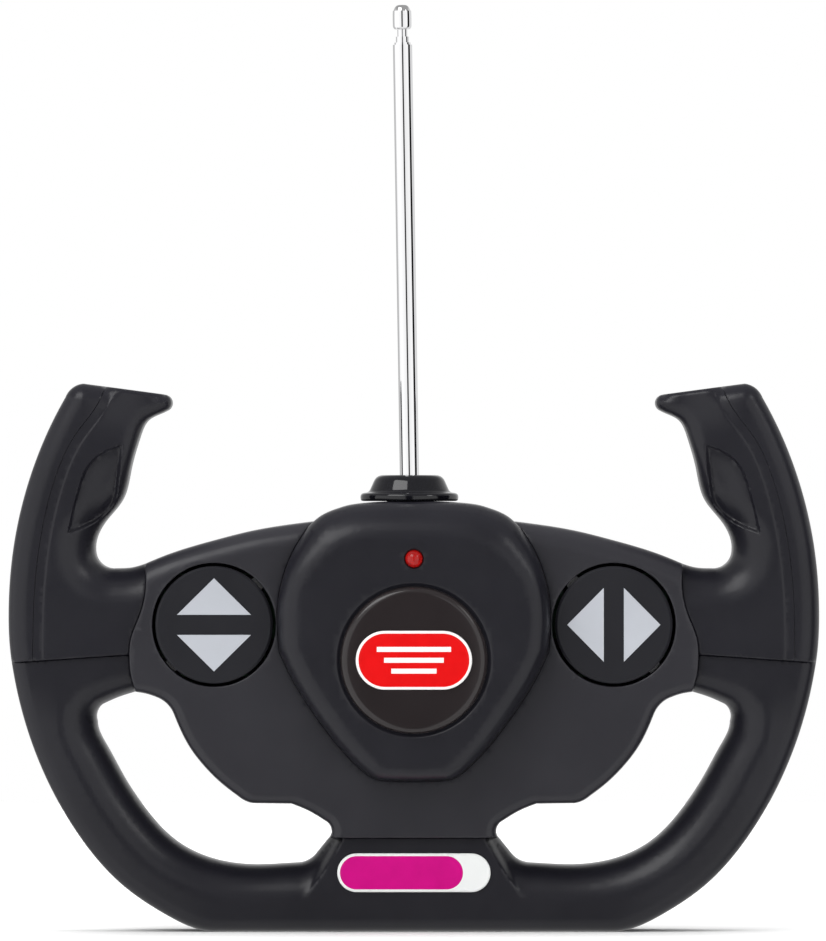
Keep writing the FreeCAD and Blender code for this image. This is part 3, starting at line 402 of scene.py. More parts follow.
horn_inner = chain([
    arc(HORN_TIP, (53.8, 117.4), (55.0, 115.7)),
    smooth_curve([(55.0, 115.7), (59.1, 113.6), (61.0, 109.8), (62.9, 103.1), (64.8, 96.0),
                  (68.9, 90.7), (70.9, 84.6)], (0.87, -0.5), (-0.1, -1)),
    arc((70.9, 84.6), (69.8, 81.9), (66.3, 80.6)),
    smooth_curve([(66.3, 80.6), (62.8, 80.8), SEAM_TOP]),
])
horn_outer = chain([
    smooth_curve([SHOULDER, (90.0, 70.5), (88.9, 85.4), (84.5, 103.1), (77.4, 118.6)],
                 (0.156, 0.988), (-0.5, 0.86)),
    arc((77.4, 118.6), (76.0, 120.6), HORN_CORNER),
    straight(HORN_CORNER, BAND_TOP),
])
horn_crown = straight(BAND_TOP, HORN_TIP)
band_line = smooth_curve([BAND_FOOT, (84.2, 74.5), (83.1, 85.4), (80.0, 99.3), (75.0, 110.4),
                          (69.6, 118.2), BAND_TOP])
insert_foot = straight(SEAM_STEP, BAND_FOOT)
band_foot = straight(BAND_FOOT, SHOULDER)
thumb_outer = smooth_curve([(64.3, 108.4), (69.6, 106.2), (72.6, 103.2), (74.4, 98.7),
                            (75.9, 93.1), (77.0, 88.0)])
thumb_inner = smooth_curve([(77.0, 88.0), (72.2, 89.9), (68.2, 92.5), (66.0, 95.6),
                            (65.3, 99.2), (64.7, 103.8), (64.3, 108.4)])

rim_loop = chain([neck_seam, rim_opening, seam_low, rim_seam, rim_outer, rim_base,
                  flip(rim_outer), flip(rim_seam), flip(seam_low), flip(rim_opening)])
hub_loop = chain([neck_seam, hub_opening, seam_low, seam_high, wing_top, hub_crown,
                  flip(wing_top), flip(seam_high), flip(seam_low), flip(hub_opening)])
pod_loop = chain([pod_right, flip(pod_right)])
horn_loop = chain([rim_seam, horn_outer, horn_crown, horn_inner, seam_high])
insert_loop = chain([insert_foot, band_line, horn_crown, horn_inner, seam_high])
thumb_loop = chain([thumb_outer, thumb_inner])


def both(lines):
    """The lines, and the same lines on the other side."""
    return list(lines) + [flip(line) for line in lines]


def within(loop, holes=()):
    """A test for points inside a loop and outside its holes."""
    def test(points):
        kept = inside(points, loop)
        for hole in holes:
            kept &= ~inside(points, hole)
        return kept
    return test


# ------------------------------------------------------------------ sizes from the frame

def front_of(node):
    """How far a node stands out of the front."""
    return -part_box(node)[0][1] / MM


def middle(node):
    """The centre of a node's box, in front coordinates."""
    low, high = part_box(node)
    x, y, z = ((a + b) / 2 / MM for a, b in zip(low, high))
    return x, z, -y


RIM_DEPTH = front_of("rim_front")
HUB_FRONT = front_of("hub_front_cover")
POD_FRONT = front_of("centre_pod_cover")
GRIP_DEPTH = front_of("right_grip_front")
HUB_REAR = 14.0
HUMP_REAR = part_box("rear_hub_shell")[1][1] / MM
ROCKERS = [middle(f"{side}_rocker_cap")[:2] for side in ("left", "right")]
DISC = middle("emblem_disc")
LAMP = middle("status_led")
ROCKER_HOLE = 13.7
DISC_RECESS = 16.8
RECESS_DEPTH = 0.7
RECESS_SOFT = 0.5
DISC_GAP = 0.5
DISC_BEVEL = 1.6
LAMP_HOLE = 2.0
SCREW_HOLE = 2.7
HOLE_ROUND = 0.4

# How far in from each edge its rounding reaches.
RIM_EDGE = 3.2
RIM_ROLL = 8.8
PANEL_ROLL = 1.6
RIM_REAR_EDGE = 6.0
WING_EDGE = 5.0
HUB_EDGE = 2.4
HUB_REAR_EDGE = 3.5
POD_EDGE = 4.6
POD_REACH = 10.0
HORN_EDGE = 4.2
HORN_ROLL = 3.4
HORN_FOOT_ROLL = 9.4
HORN_REAR_EDGE = 5.0
CROWN_EDGE = 1.2
CROWN_REAR_EDGE = 2.0
HUMP_EDGE = 2.0
DOOR_EDGE = 0.3

# How deep the softer shapes on the skins are.
RIM_BAND_FALL = 0.9
THUMB_STEP = 0.9
THUMB_DISH = 1.0
TIP_SWEEP = 2.2

# The crease where the badge's panel on the rim turns into the deep roll: where it starts,
# and which way its roll falls.
CREASE_START = (15.0, 20.5)
CREASE_FALL = (0.885, 0.465)


# ------------------------------------------------------------------ the front housings

def rim_height(p):
    """The rim: a flat outer band, a soft ridge, then a deep roll towards the openings."""
    gap_outer = distance(p, both([rim_outer]) + [rim_base])
    gap_inner = distance(p, both([rim_opening]))
    gap_seam = distance(p, both([seam_low, rim_seam]) + [neck_seam])
    past_crease = ((np.abs(p[:, 0]) - CREASE_START[0]) * CREASE_FALL[0]
                   + (p[:, 1] - CREASE_START[1]) * CREASE_FALL[1])
    roll = PANEL_ROLL + (RIM_ROLL - PANEL_ROLL) * ease(past_crease, -0.3, 2.6)
    shoulder = ease(p[:, 1], 44, 58)
    roll = roll * (1 - 0.35 * shoulder)
    band = RIM_BAND_FALL * (1 - ease(gap_outer, 0.0, 9.0)) * (1 - shoulder)
    return (RIM_DEPTH - band - drop(gap_outer, RIM_EDGE) - drop(gap_inner, roll, roll * 1.02)
            - drop(gap_seam, SEAM_ROUND))


def hub_height(p):
    """The hub: flat, rounded along the wings and the openings, with holes for the rockers."""
    gap_top = distance(p, both([wing_top]))
    gap_low = distance(p, both([hub_opening]))
    gap_seam = distance(p, both([seam_low, seam_high]) + [neck_seam, pod_loop])
    for x, y in ROCKERS:
        gap_seam = np.minimum(gap_seam, np.abs(np.hypot(p[:, 0] - x, p[:, 1] - y) - ROCKER_HOLE))
    return (HUB_FRONT - drop(gap_top, WING_EDGE) - drop(gap_low, HUB_EDGE)
            - drop(gap_seam, SEAM_ROUND))


def pod_height(p):
    """The pod: rounded more towards its top, with the disc's recess and the lamp's hole."""
    gap = distance(p, [pod_loop])
    reach = POD_EDGE + 5.6 * ease(p[:, 1], 74, 92) - 0.8 * ease(-p[:, 1], -52, -38)
    depth = 5.0 + 3.5 * ease(p[:, 1], 78, 93)
    skin = POD_FRONT - drop(gap, reach, depth)
    from_disc = np.hypot(p[:, 0] - DISC[0], p[:, 1] - DISC[1])
    skin -= RECESS_DEPTH * ease(-from_disc, -DISC_RECESS - RECESS_SOFT,
                                -DISC_RECESS + RECESS_SOFT)
    from_lamp = np.hypot(p[:, 0] - LAMP[0], p[:, 1] - LAMP[1])
    return skin - drop(np.maximum(from_lamp - LAMP_HOLE, 0), HOLE_ROUND)


def horn_height(p):
    """The horns: rounded outside, rolled inside, with a sunk leaf for the thumb."""
    gap_outer = distance(p, [horn_outer])
    gap_crown = distance(p, [horn_crown])
    gap_inner = distance(p, [horn_inner])
    gap_seam = distance(p, [rim_seam, seam_high])
    low = 1 - ease(p[:, 1], 88, 106)
    roll = HORN_ROLL + (HORN_FOOT_ROLL - HORN_ROLL) * low
    skin = (GRIP_DEPTH - drop(gap_outer, HORN_EDGE) - drop(gap_crown, CROWN_EDGE)
            - drop(gap_inner, roll, roll * 0.95) - drop(gap_seam, SEAM_ROUND))
    skin -= TIP_SWEEP * ease(p[:, 1], 106, 119) * ease(-p[:, 0], -74, -58)
    gap_out = distance(p, [thumb_outer])
    gap_in = distance(p, [thumb_inner])
    step = THUMB_STEP * ease(gap_out, 0.0, 0.5)
    dish = THUMB_DISH * ease(gap_out, 0.4, 5.5)
    sunk = (step + dish) * ease(gap_in, 0.0, 1.1)
    return np.where(inside(p, thumb_loop), skin - sunk, skin)


def band_groove(p):
    """The seam beside the band, and the shallow channel that runs along it."""
    gap = distance(p, [band_line])
    return drop(gap, BAND_ROUND) + CHANNEL_DEPTH * (1 - ease(gap, CHANNEL - 0.5, CHANNEL))


def make_rim():
    """The rim's front and rear shells."""
    seams = [(line, SEAM_ROUND) for line in both([seam_low, rim_seam]) + [neck_seam]]
    edges = [(line, RIM_ROLL) for line in both([rim_opening])]
    edges += [(line, RIM_EDGE) for line in both([rim_outer]) + [rim_base]]
    crease = smooth_curve([CREASE_START, (17.7, 15.6), (20.5, 10.5), (22.0, 7.4)])
    details = [rings(line, 2.2) for line in both([crease])]
    front = shell("rim_front_skin", edges + seams, within(rim_loop), rim_height,
                  details=details)
    holes = screw_holes([(30.0, 7.3), (74.5, 36.0)])
    rounded = both([rim_opening, rim_outer]) + [rim_base]
    rear_edges = [(line, RIM_REAR_EDGE) for line in rounded]
    rear_edges += seams + [(hole, HOLE_ROUND) for hole in holes]

    def rear_height(p):
        gap = distance(p, rounded)
        seam = distance(p, both([seam_low, rim_seam]) + [neck_seam] + holes)
        return -(RIM_DEPTH - drop(gap, RIM_REAR_EDGE) - drop(seam, SEAM_ROUND))

    rear = shell("rim_rear_skin", rear_edges, within(rim_loop, holes), rear_height, facing=-1)
    return front, rear


def screw_holes(places, sides=(-1, 1)):
    """Round holes at these places, on the given sides of the middle."""
    return [circle(side * x, y, SCREW_HOLE, 28) for x, y in places for side in sides]


def make_hub_front():
    """The hub's front cover, with holes for the rockers and the pod."""
    edges = [(line, WING_EDGE) for line in both([wing_top])]
    edges += [(line, HUB_EDGE) for line in both([hub_opening])]
    edges += [(line, SEAM_ROUND) for line in both([seam_low, seam_high]) + [neck_seam]]
    holes = [circle(x, y, ROCKER_HOLE, 120) for x, y in ROCKERS]
    edges += [(hole, SEAM_ROUND) for hole in holes] + [(pod_loop, SEAM_ROUND)]
    keep = within(hub_loop, holes + [pod_loop])
    return shell("hub_front_skin", edges, keep, hub_height)


def make_pod():
    """The pod's cover, with a recess for the disc and a hole for the lamp."""
    lamp_hole = circle(LAMP[0], LAMP[1], LAMP_HOLE, 48)
    recess = circle(DISC[0], DISC[1], DISC_RECESS, 150)
    details = [rings(recess, RECESS_SOFT, (0.0, 0.3, 0.6, 1.0))]
    edges = [(pod_loop, POD_REACH), (lamp_hole, HOLE_ROUND)]
    return shell("pod_skin", edges, within(pod_loop, [lamp_hole]), pod_height,
                 details=details)


def make_horn(mirrored):
    """One horn: its front insert, and its rear shell with the band that wraps forward."""
    roll = [(horn_inner, HORN_FOOT_ROLL), (horn_inner, HORN_ROLL), (horn_crown, CROWN_EDGE)]
    seams = [(line, SEAM_ROUND) for line in (insert_foot, seam_high, band_line)]
    details = [rings(thumb_outer, 0.5, (0.0, 0.35, 0.7, 1.05)),
               rings(thumb_inner, 1.1, (0.0, 0.25, 0.5, 0.75, 1.0)),
               rings(band_line, CHANNEL, (0.78, 0.84, 0.9, 0.96, 1.02))]
    side = "left" if mirrored else "right"
    place = flip if mirrored else (lambda line: line)

    def placed(edges):
        return [(place(line), reach) for line, reach in edges]

    def seen(test):
        return lambda p: test(place(p))

    front = shell(
        f"{side}_grip_front_skin", placed(roll + seams), seen(within(insert_loop)),
        lambda p: horn_height(place(p)) - band_groove(place(p)),
        details=[place(line) for line in details], grid=1.1)
    band_edges = [(horn_outer, HORN_EDGE), (band_line, SEAM_ROUND), (band_foot, SEAM_ROUND)]
    band = shell(
        f"{side}_band", placed(band_edges), seen(within(horn_loop, [insert_loop])),
        lambda p: horn_height(place(p)) - drop(distance(place(p), [band_line]), BAND_ROUND),
        wall=SOLID)
    holes = screw_holes([(76.0, 68.0), (72.0, 106.0)], (1,))
    rear_edges = [(horn_outer, HORN_REAR_EDGE), (horn_crown, CROWN_REAR_EDGE),
                  (horn_inner, HORN_REAR_EDGE)]
    rear_edges += [(rim_seam, SEAM_ROUND), (seam_high, SEAM_ROUND)]
    rear_edges += [(hole, HOLE_ROUND) for hole in holes]

    def rear_height(p):
        p = place(p)
        gap = distance(p, [horn_outer, horn_inner])
        crown = distance(p, [horn_crown])
        seam = distance(p, [rim_seam, seam_high] + holes)
        return -(GRIP_DEPTH - drop(gap, HORN_REAR_EDGE) - drop(crown, CROWN_REAR_EDGE)
                 - drop(seam, SEAM_ROUND))

    rear = shell(f"{side}_rear", placed(rear_edges), seen(within(horn_loop, holes)),
                 rear_height, facing=-1)
    return front, joined(f"{side}_grip_rear_skin", [rear, band])


def make_hub_rear():
    """The rear shell with its battery hump, open where the battery door lies."""
    hump = rounded_box(-30.5, 30.5, 31.2, 69.6, 3.0)
    door_hole = rounded_box(-28.7, 28.7, 33.0, 68.3, 0.6)
    holes = screw_holes([(13.0, 27.2), (32.0, 83.8)])
    crown = [line[above_wings(line)] for line in both([pod_right])]
    crown_loop = chain(crown + [straight((-22.4, WING_TOP[1]), (22.4, WING_TOP[1]))])
    edge_lines = both([hub_opening]) + both([wing_top])

    def keep(p):
        body = inside(p, hub_loop) | inside(p, crown_loop)
        for hole in holes + [hump]:
            body &= ~inside(p, hole)
        return body

    def height(p):
        gap = distance(p, edge_lines + crown)
        seam = distance(p, both([seam_low, seam_high]) + [neck_seam] + holes)
        return -(HUB_REAR - drop(gap, HUB_REAR_EDGE) - drop(seam, SEAM_ROUND))

    edges = [(line, HUB_REAR_EDGE) for line in edge_lines + crown]
    edges += [(line, SEAM_ROUND) for line in both([seam_low, seam_high]) + [neck_seam]]
    edges += [(hole, HOLE_ROUND) for hole in holes] + [(hump, 0.5)]
    rear = shell("rear_field", edges, keep, height, facing=-1)

    def hump_height(p):
        return -(HUMP_REAR - drop(distance(p, [hump]), HUMP_EDGE)
                 - drop(distance(p, [door_hole]), DOOR_EDGE))

    cap = shell("hump", [(hump, HUMP_EDGE), (door_hole, DOOR_EDGE)],
                within(hump, [door_hole]), hump_height, facing=-1, wall=SOLID)
    return joined("rear_hub_skin", [rear, cap])


def above_wings(line):
    """Which points of the pod's outline stand above the wings, give or take a little."""
    return line[:, 1] > WING_TOP[1] - 0.1


# ------------------------------------------------------------------ front trim

def fillet_profile(radius, high, soft, steps=8):
    """A disc's half profile with a rounded front edge."""
    turns = np.linspace(0, math.pi / 2, steps)
    rim = [(radius - soft + soft * math.cos(a), high - soft + soft * math.sin(a)) for a in turns]
    return [(radius, 0.0)] + rim


def make_disc():
    """The emblem disc, nearly filling its recess, with a wide glossy bevel."""
    low = -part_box("emblem_disc")[1][1] / MM
    high = -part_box("emblem_disc")[0][1] / MM
    radius = DISC_RECESS - DISC_GAP
    profile = fillet_profile(radius, high - low, DISC_BEVEL)
    profile += [(share * radius, high - low) for share in (0.7, 0.4, 0.1)]
    return lathe("emblem_disc_skin", profile, (DISC[0], DISC[1], low))


def badge_plate(name, node, border):
    """A badge: a thin plate with a soft edge, its border standing just above its field.

    Its ends are round, with a radius just short of half its height."""
    low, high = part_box(node)
    left, right = low[0] / MM, high[0] / MM
    bottom, top = low[2] / MM, high[2] / MM
    back, front = -high[1] / MM, -low[1] / MM
    radius = (top - bottom) / 2 - 0.01
    outline = rounded_box(left, right, bottom, top, radius, 0.35)

    def height(p):
        gap = distance(p, [outline])
        return front - drop(gap, 0.3) - 0.06 * ease(gap, border, border + 0.2)

    field = rounded_box(left + border, right - border, bottom + border, top - border,
                        radius - border, 0.35)
    details = [rings(field, 0.2, (0.0, 0.5, 1.0))]
    return shell(name, [(outline, 0.3)], within(outline), height, floor=back,
                 details=details, grid=0.8, wall=SOLID)


def rounded_profile(corners, steps=6):
    """A half profile through (radius, height, rounding) corners, each one rounded off."""
    points = []
    count = len(corners)
    for i, (x, y, soft) in enumerate(corners):
        here = np.array((x, y))
        if not soft or i in (0, count - 1):
            points.append((x, y))
            continue
        first = np.array(corners[i - 1][:2]) - here
        second = np.array(corners[i + 1][:2]) - here
        start = here + first / np.linalg.norm(first) * soft
        end = here + second / np.linalg.norm(second) * soft
        for t in np.linspace(0, 1, steps):
            spot = (1 - t)**2 * start + 2 * t * (1 - t) * here + t * t * end
            points.append(tuple(spot))
    return points


def make_collar():
    """The antenna's collar: a rounded lip under a soft-shouldered cone."""
    low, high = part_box("antenna_collar")
    wide = (high[0] - low[0]) / 2 / MM
    foot, crown = low[2] / MM, high[2] / MM
    lip = crown - 5.8
    corners = [(2.7, 0, 0), (4.9, 0, 0), (4.9, lip - foot, 0.3), (wide, lip - foot, 0.7),
               (wide, lip + 1.7 - foot, 0.8), (9.0, lip + 2.0 - foot, 0.7),
               (7.3, crown - foot, 1.5), (2.7, crown - foot, 0)]
    centre = ((low[0] + high[0]) / 2 / MM, foot, -(low[1] + high[1]) / 2 / MM)
    return lathe("antenna_collar_skin", rounded_profile(corners), centre, up=(0, 1, 0),
                 bored=True)


def make_knob():
    """The knob on the tip rod: a barrel with rounded ends, in line with the aerial."""
    low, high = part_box("antenna_tip_knob")
    base_low, base_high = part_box("antenna_section_a")
    middle_knob = [(a + b) / 2 for a, b in zip(low, high)]
    middle_base = [(a + b) / 2 for a, b in zip(base_low, base_high)]
    axis = Vector(middle_knob) - Vector(middle_base)
    axis.normalize()
    tall = (high[2] - low[2]) / MM
    wide = (high[0] - low[0]) / 2 / MM - tall * abs(axis.x)
    half = tall / 2 - wide * abs(axis.x)
    corners = [(0.3, -half, 0), (wide * 0.8, -half, 0.2), (wide * 0.98, -half + 0.5, 0.3),
               (wide, 0, 1.4), (wide * 0.97, half - 1.4, 0.9), (wide * 0.6, half, 0.7),
               (0.3, half, 0)]
    centre = (middle_knob[0] / MM, middle_knob[2] / MM, -middle_knob[1] / MM)
    return lathe("tip_knob_skin", rounded_profile(corners), centre, 64,
                 up=(axis.x, axis.z, -axis.y))


# ------------------------------------------------------------------ materials

def new_material(name):
    """A node material, with its nodes, its links and its shader."""
    material = bpy.data.materials.new(name)
    material.use_nodes = True
    nodes = material.node_tree.nodes
    links = material.node_tree.links
    shader = nodes["Principled BSDF"]
    return material, nodes, links, shader


def noise(nodes, links, scale, detail, stretch=(1, 1, 1)):
    """A noise texture in object coordinates."""
    where = nodes.new("ShaderNodeTexCoord")
    mapping = nodes.new("ShaderNodeMapping")
    mapping.inputs["Scale"].default_value = stretch
    texture = nodes.new("ShaderNodeTexNoise")
    texture.inputs["Scale"].default_value = scale
    texture.inputs["Detail"].default_value = detail
    links.new(where.outputs["Object"], mapping.inputs["Vector"])
    links.new(mapping.outputs["Vector"], texture.inputs["Vector"])
    return texture


def ramp(nodes, links, source, low, high, dark, light):
    """Maps a grey source between two colours."""
    item = nodes.new("ShaderNodeValToRGB")
    item.color_ramp.elements[0].position = low
    item.color_ramp.elements[1].position = high
    item.color_ramp.elements[0].color = (*dark, 1)
    item.color_ramp.elements[1].color = (*light, 1)
    links.new(source, item.inputs["Fac"])
    return item.outputs["Color"]


def spread(nodes, links, source, low, high):
    """Maps a grey source to a range of values."""
    item = nodes.new("ShaderNodeMapRange")
    item.inputs["To Min"].default_value = low
    item.inputs["To Max"].default_value = high
    links.new(source, item.inputs["Value"])
    return item.outputs["Result"]


def bump(nodes, links, shader, source, strength, depth):
    """Raises fine relief from a grey source."""
    item = nodes.new("ShaderNodeBump")
    item.inputs["Strength"].default_value = strength
    item.inputs["Distance"].default_value = depth
    links.new(source, item.inputs["Height"])
    links.new(item.outputs["Normal"], shader.inputs["Normal"])


def moulded_plastic(name, dark, light, rough_low, rough_high, grain=900.0, depth=0.00004,
                    shine=0.5):
    """Satin moulded plastic: faint mottling, uneven gloss and a fine spark-eroded grain."""
    material, nodes, links, shader = new_material(name)
    mottle = noise(nodes, links, 55.0, 5.0)
    links.new(ramp(nodes, links, mottle.outputs["Fac"], 0.3, 0.7, dark, light),
              shader.inputs["Base Color"])
    wear = noise(nodes, links, 210.0, 3.0)
    links.new(spread(nodes, links, wear.outputs["Fac"], rough_low, rough_high),
              shader.inputs["Roughness"])
    texture = noise(nodes, links, grain, 2.0)
    bump(nodes, links, shader, texture.outputs["Fac"], 0.35, depth)
    shader.inputs["Specular IOR Level"].default_value = shine
    return material


def polished_metal(name, colour, rough_low, rough_high, stretch=(1, 1, 1)):
    """Plated metal with faint drawing marks."""
    material, nodes, links, shader = new_material(name)
    shader.inputs["Metallic"].default_value = 1.0
    marks = noise(nodes, links, 160.0, 4.0, stretch)
    pale = tuple(min(1.0, c * 1.05) for c in colour)
    deep = tuple(c * 0.92 for c in colour)
    links.new(ramp(nodes, links, marks.outputs["Fac"], 0.3, 0.7, deep, pale),
              shader.inputs["Base Color"])
    links.new(spread(nodes, links, marks.outputs["Fac"], rough_low, rough_high),
              shader.inputs["Roughness"])
    return material


def badge_material(name, field, edge, node, border, end=0.0, stripes=()):
    """A printed badge: a coloured field on a pale ground, with plain pale stripes.

    border is the pale margin all round and end the extra pale width at the right; stripes
    holds (height above the middle, half length, half thickness), all in millimetres."""
    material, nodes, links, shader = new_material(name)
    low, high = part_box(node)
    centre = [(a + b) / 2 for a, b in zip(low, high)]
    radius = (high[2] - low[2]) / 2 - border * MM
    reach = (high[0] - low[0]) / 2 - (border + end / 2) * MM - radius
    where = nodes.new("ShaderNodeTexCoord")
    split = nodes.new("ShaderNodeSeparateXYZ")
    links.new(where.outputs["Object"], split.inputs[0])

    def maths(operation, first, second=None):
        """The output of a maths node, fed by numbers or other outputs."""
        item = nodes.new("ShaderNodeMath")
        item.operation = operation
        for slot, value in enumerate((first, second)):
            if value is None:
                continue
            if isinstance(value, (int, float)):
                item.inputs[slot].default_value = value
            else:
                links.new(value, item.inputs[slot])
        return item.outputs[0]

    across = maths("ABSOLUTE", maths("SUBTRACT", split.outputs["X"], centre[0] - end / 2 * MM))
    up = maths("SUBTRACT", split.outputs["Z"], centre[2])
    past = maths("MAXIMUM", maths("SUBTRACT", across, reach), 0.0)
    gap = maths("SQRT", maths("ADD", maths("MULTIPLY", past, past), maths("MULTIPLY", up, up)))
    pale = maths("GREATER_THAN", gap, radius)
    for height, half_length, half_thick in stripes:
        off = maths("ABSOLUTE", maths("SUBTRACT", up, height * MM))
        stripe = maths("MULTIPLY", maths("LESS_THAN", off, half_thick * MM),
                       maths("LESS_THAN", across, half_length * MM))
        pale = maths("MAXIMUM", pale, stripe)
    mix = nodes.new("ShaderNodeMix")
    mix.data_type = "RGBA"
    ink = noise(nodes, links, 300.0, 3.0)
    tint = ramp(nodes, links, ink.outputs["Fac"], 0.3, 0.7,
                tuple(c * 0.92 for c in field), field)
    links.new(pale, mix.inputs["Factor"])
    links.new(tint, mix.inputs["A"])
    mix.inputs["B"].default_value = (*edge, 1)
    links.new(mix.outputs["Result"], shader.inputs["Base Color"])
    links.new(spread(nodes, links, ink.outputs["Fac"], 0.25, 0.35), shader.inputs["Roughness"])
    shader.inputs["Specular IOR Level"].default_value = 0.12
    return material


def lamp_material():
    """A red tinted lens with a faint glow and a thin clear coat."""
    material, nodes, links, shader = new_material("lamp_lens")
    clouds = noise(nodes, links, 420.0, 2.0)
    links.new(ramp(nodes, links, clouds.outputs["Fac"], 0.35, 0.7, (0.22, 0.001, 0.001),
                   (0.40, 0.003, 0.002)), shader.inputs["Base Color"])
    links.new(spread(nodes, links, clouds.outputs["Fac"], 0.1, 0.2),
              shader.inputs["Roughness"])
    shader.inputs["Specular IOR Level"].default_value = 0.3
    shader.inputs["Emission Color"].default_value = (0.9, 0.03, 0.02, 1)
    shader.inputs["Emission Strength"].default_value = 0.06
    shader.inputs["Coat Weight"].default_value = 0.25
    return material


shell_black = moulded_plastic("satin_black_shell", (0.0100, 0.0097, 0.0138),
                              (0.0130, 0.0127, 0.0174), 0.27, 0.36, shine=0.33)
# The hub cover gets a lighter copy of the shell plastic. This is painted light: it stands in for
# the light that the hub's front face catches.
hub_painted_light_black = moulded_plastic("satin_black_hub_painted_light", (0.0225, 0.0220, 0.0270),
                            (0.0265, 0.0260, 0.0315), 0.27, 0.36, shine=0.33)
cap_black = moulded_plastic("rocker_black", (0.0120, 0.0120, 0.0155), (0.0150, 0.0150, 0.0190),
                            0.3, 0.38, shine=0.3)
gloss_black = moulded_plastic("polished_black", (0.004, 0.004, 0.006), (0.0062, 0.0062, 0.0088),
                              0.06, 0.11, grain=300.0, depth=0.000006)
disc_black = moulded_plastic("disc_black", (0.0190, 0.0152, 0.0158), (0.0225, 0.0182, 0.0190),
                             0.12, 0.17, grain=600.0, depth=0.00001, shine=0.45)
arrow_print = moulded_plastic("silver_print", (0.44, 0.46, 0.50), (0.485, 0.505, 0.55),
                              0.32, 0.42, grain=1400.0, depth=0.00001)
chrome = polished_metal("aerial_chrome", (0.93, 0.93, 0.94), 0.02, 0.06, (1, 1, 0.05))
steel = polished_metal("zinc_steel", (0.58, 0.58, 0.6), 0.22, 0.36)
brass = polished_metal("brass_part", (0.72, 0.55, 0.28), 0.22, 0.34)
copper = polished_metal("enamelled_copper", (0.62, 0.28, 0.13), 0.25, 0.35)
tin = polished_metal("tin_can", (0.66, 0.66, 0.67), 0.16, 0.26)
frame_plastic = moulded_plastic("inner_plastic", (0.008, 0.008, 0.009), (0.012, 0.012, 0.014),
                                0.55, 0.65, shine=0.2)
rubber = moulded_plastic("key_silicone", (0.26, 0.27, 0.28), (0.33, 0.34, 0.35), 0.55, 0.7)
board = moulded_plastic("board_mask", (0.015, 0.075, 0.03), (0.03, 0.12, 0.05), 0.25, 0.35)
chip = moulded_plastic("chip_resin", (0.012, 0.012, 0.012), (0.02, 0.02, 0.02), 0.5, 0.6)
tan = moulded_plastic("resistor_lacquer", (0.45, 0.33, 0.19), (0.55, 0.42, 0.26), 0.35, 0.45)
jacket = moulded_plastic("battery_jacket", (0.05, 0.055, 0.065), (0.08, 0.085, 0.1), 0.25, 0.35)
red_wire = moulded_plastic("red_insulation", (0.42, 0.012, 0.01), (0.5, 0.02, 0.015), 0.4, 0.5)
black_wire = moulded_plastic("black_insulation", (0.012, 0.012, 0.012), (0.02, 0.02, 0.02),
                             0.4, 0.5)
lens = lamp_material()
BADGE_BORDER = 0.6
STRIPES = ((2.4, 8.2, 0.55), (0.0, 6.6, 0.55), (-2.4, 5.0, 0.55))
red_badge = badge_material("red_badge_print", (0.73, 0.004, 0.005), (0.88, 0.86, 0.85),
                           "emblem_badge", BADGE_BORDER, stripes=STRIPES)
pink_badge = badge_material("magenta_badge_print", (0.63, 0.002, 0.23), (0.86, 0.88, 0.87),
                            "lower_badge", BADGE_BORDER, end=5.5)


def paint(item, material):
    """Gives an object one material."""
    item.data.materials.clear()
    item.data.materials.append(material)


NODE_FINISHES = {
    arrow_print: ["left_rocker_arrows", "right_rocker_arrows"],
    cap_black: ["left_rocker_cap", "right_rocker_cap"],
    shell_black: ["battery_door"],
    chrome: ["antenna_base_tube", "antenna_section_a", "antenna_section_b",
             "antenna_tip_rod"],
    steel: ["left_pivot_pin", "right_pivot_pin", "antenna_screw", "housing_screws",
            "pcb_screws", "bracket_screws", "battery_door_screw", "led_leads"],
    tin: ["crystal_can"],
    brass: ["antenna_ferrule"],
    copper: ["rf_coil"],
    frame_plastic: ["left_rocker_bracket", "right_rocker_bracket", "battery_snap"],
    rubber: ["left_keypad", "right_keypad", "forward_key_dome", "reverse_key_dome",
             "left_key_dome", "right_key_dome", "forward_key_boss", "reverse_key_boss",
             "left_key_boss", "right_key_boss"],
    board: ["main_pcb"],
    chip: ["controller_ic", "capacitors"],
    tan: ["resistors"],
    jacket: ["battery_9v"],
    red_wire: ["battery_lead_red"],
    black_wire: ["battery_lead_black", "antenna_lead"],
    lens: ["status_led"],
}


def finish_nodes():
    """Gives each node that keeps its CAD shape its material."""
    for material, names in NODE_FINISHES.items():
        for name in names:
            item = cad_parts[name]
            if not item.material_slots:
                item.data.materials.append(material)
            for slot in item.material_slots:
                slot.material = material


# ------------------------------------------------------------------ camera, floor and light

# The camera looks along +Y at a plane near the front; middle and height are what it shows.
VIEW_PLANE = -0.012
VIEW_MIDDLE = (-0.0002, 0.1024)
VIEW_HEIGHT = 0.2086
CAMERA_GAP = 2.6


def make_camera():
    """A long lens from straight ahead."""
    camera = bpy.data.cameras.new("camera")
    camera.sensor_fit = "VERTICAL"
    camera.sensor_height = 24.0
    camera.lens = camera.sensor_height * CAMERA_GAP / VIEW_HEIGHT
    camera.clip_end = 20.0
    item = bpy.data.objects.new("camera", camera)
    item.location = (VIEW_MIDDLE[0], VIEW_PLANE - CAMERA_GAP, VIEW_MIDDLE[1])
    item.rotation_euler = (math.pi / 2, 0, 0)
    bpy.context.scene.collection.objects.link(item)
    bpy.context.scene.camera = item


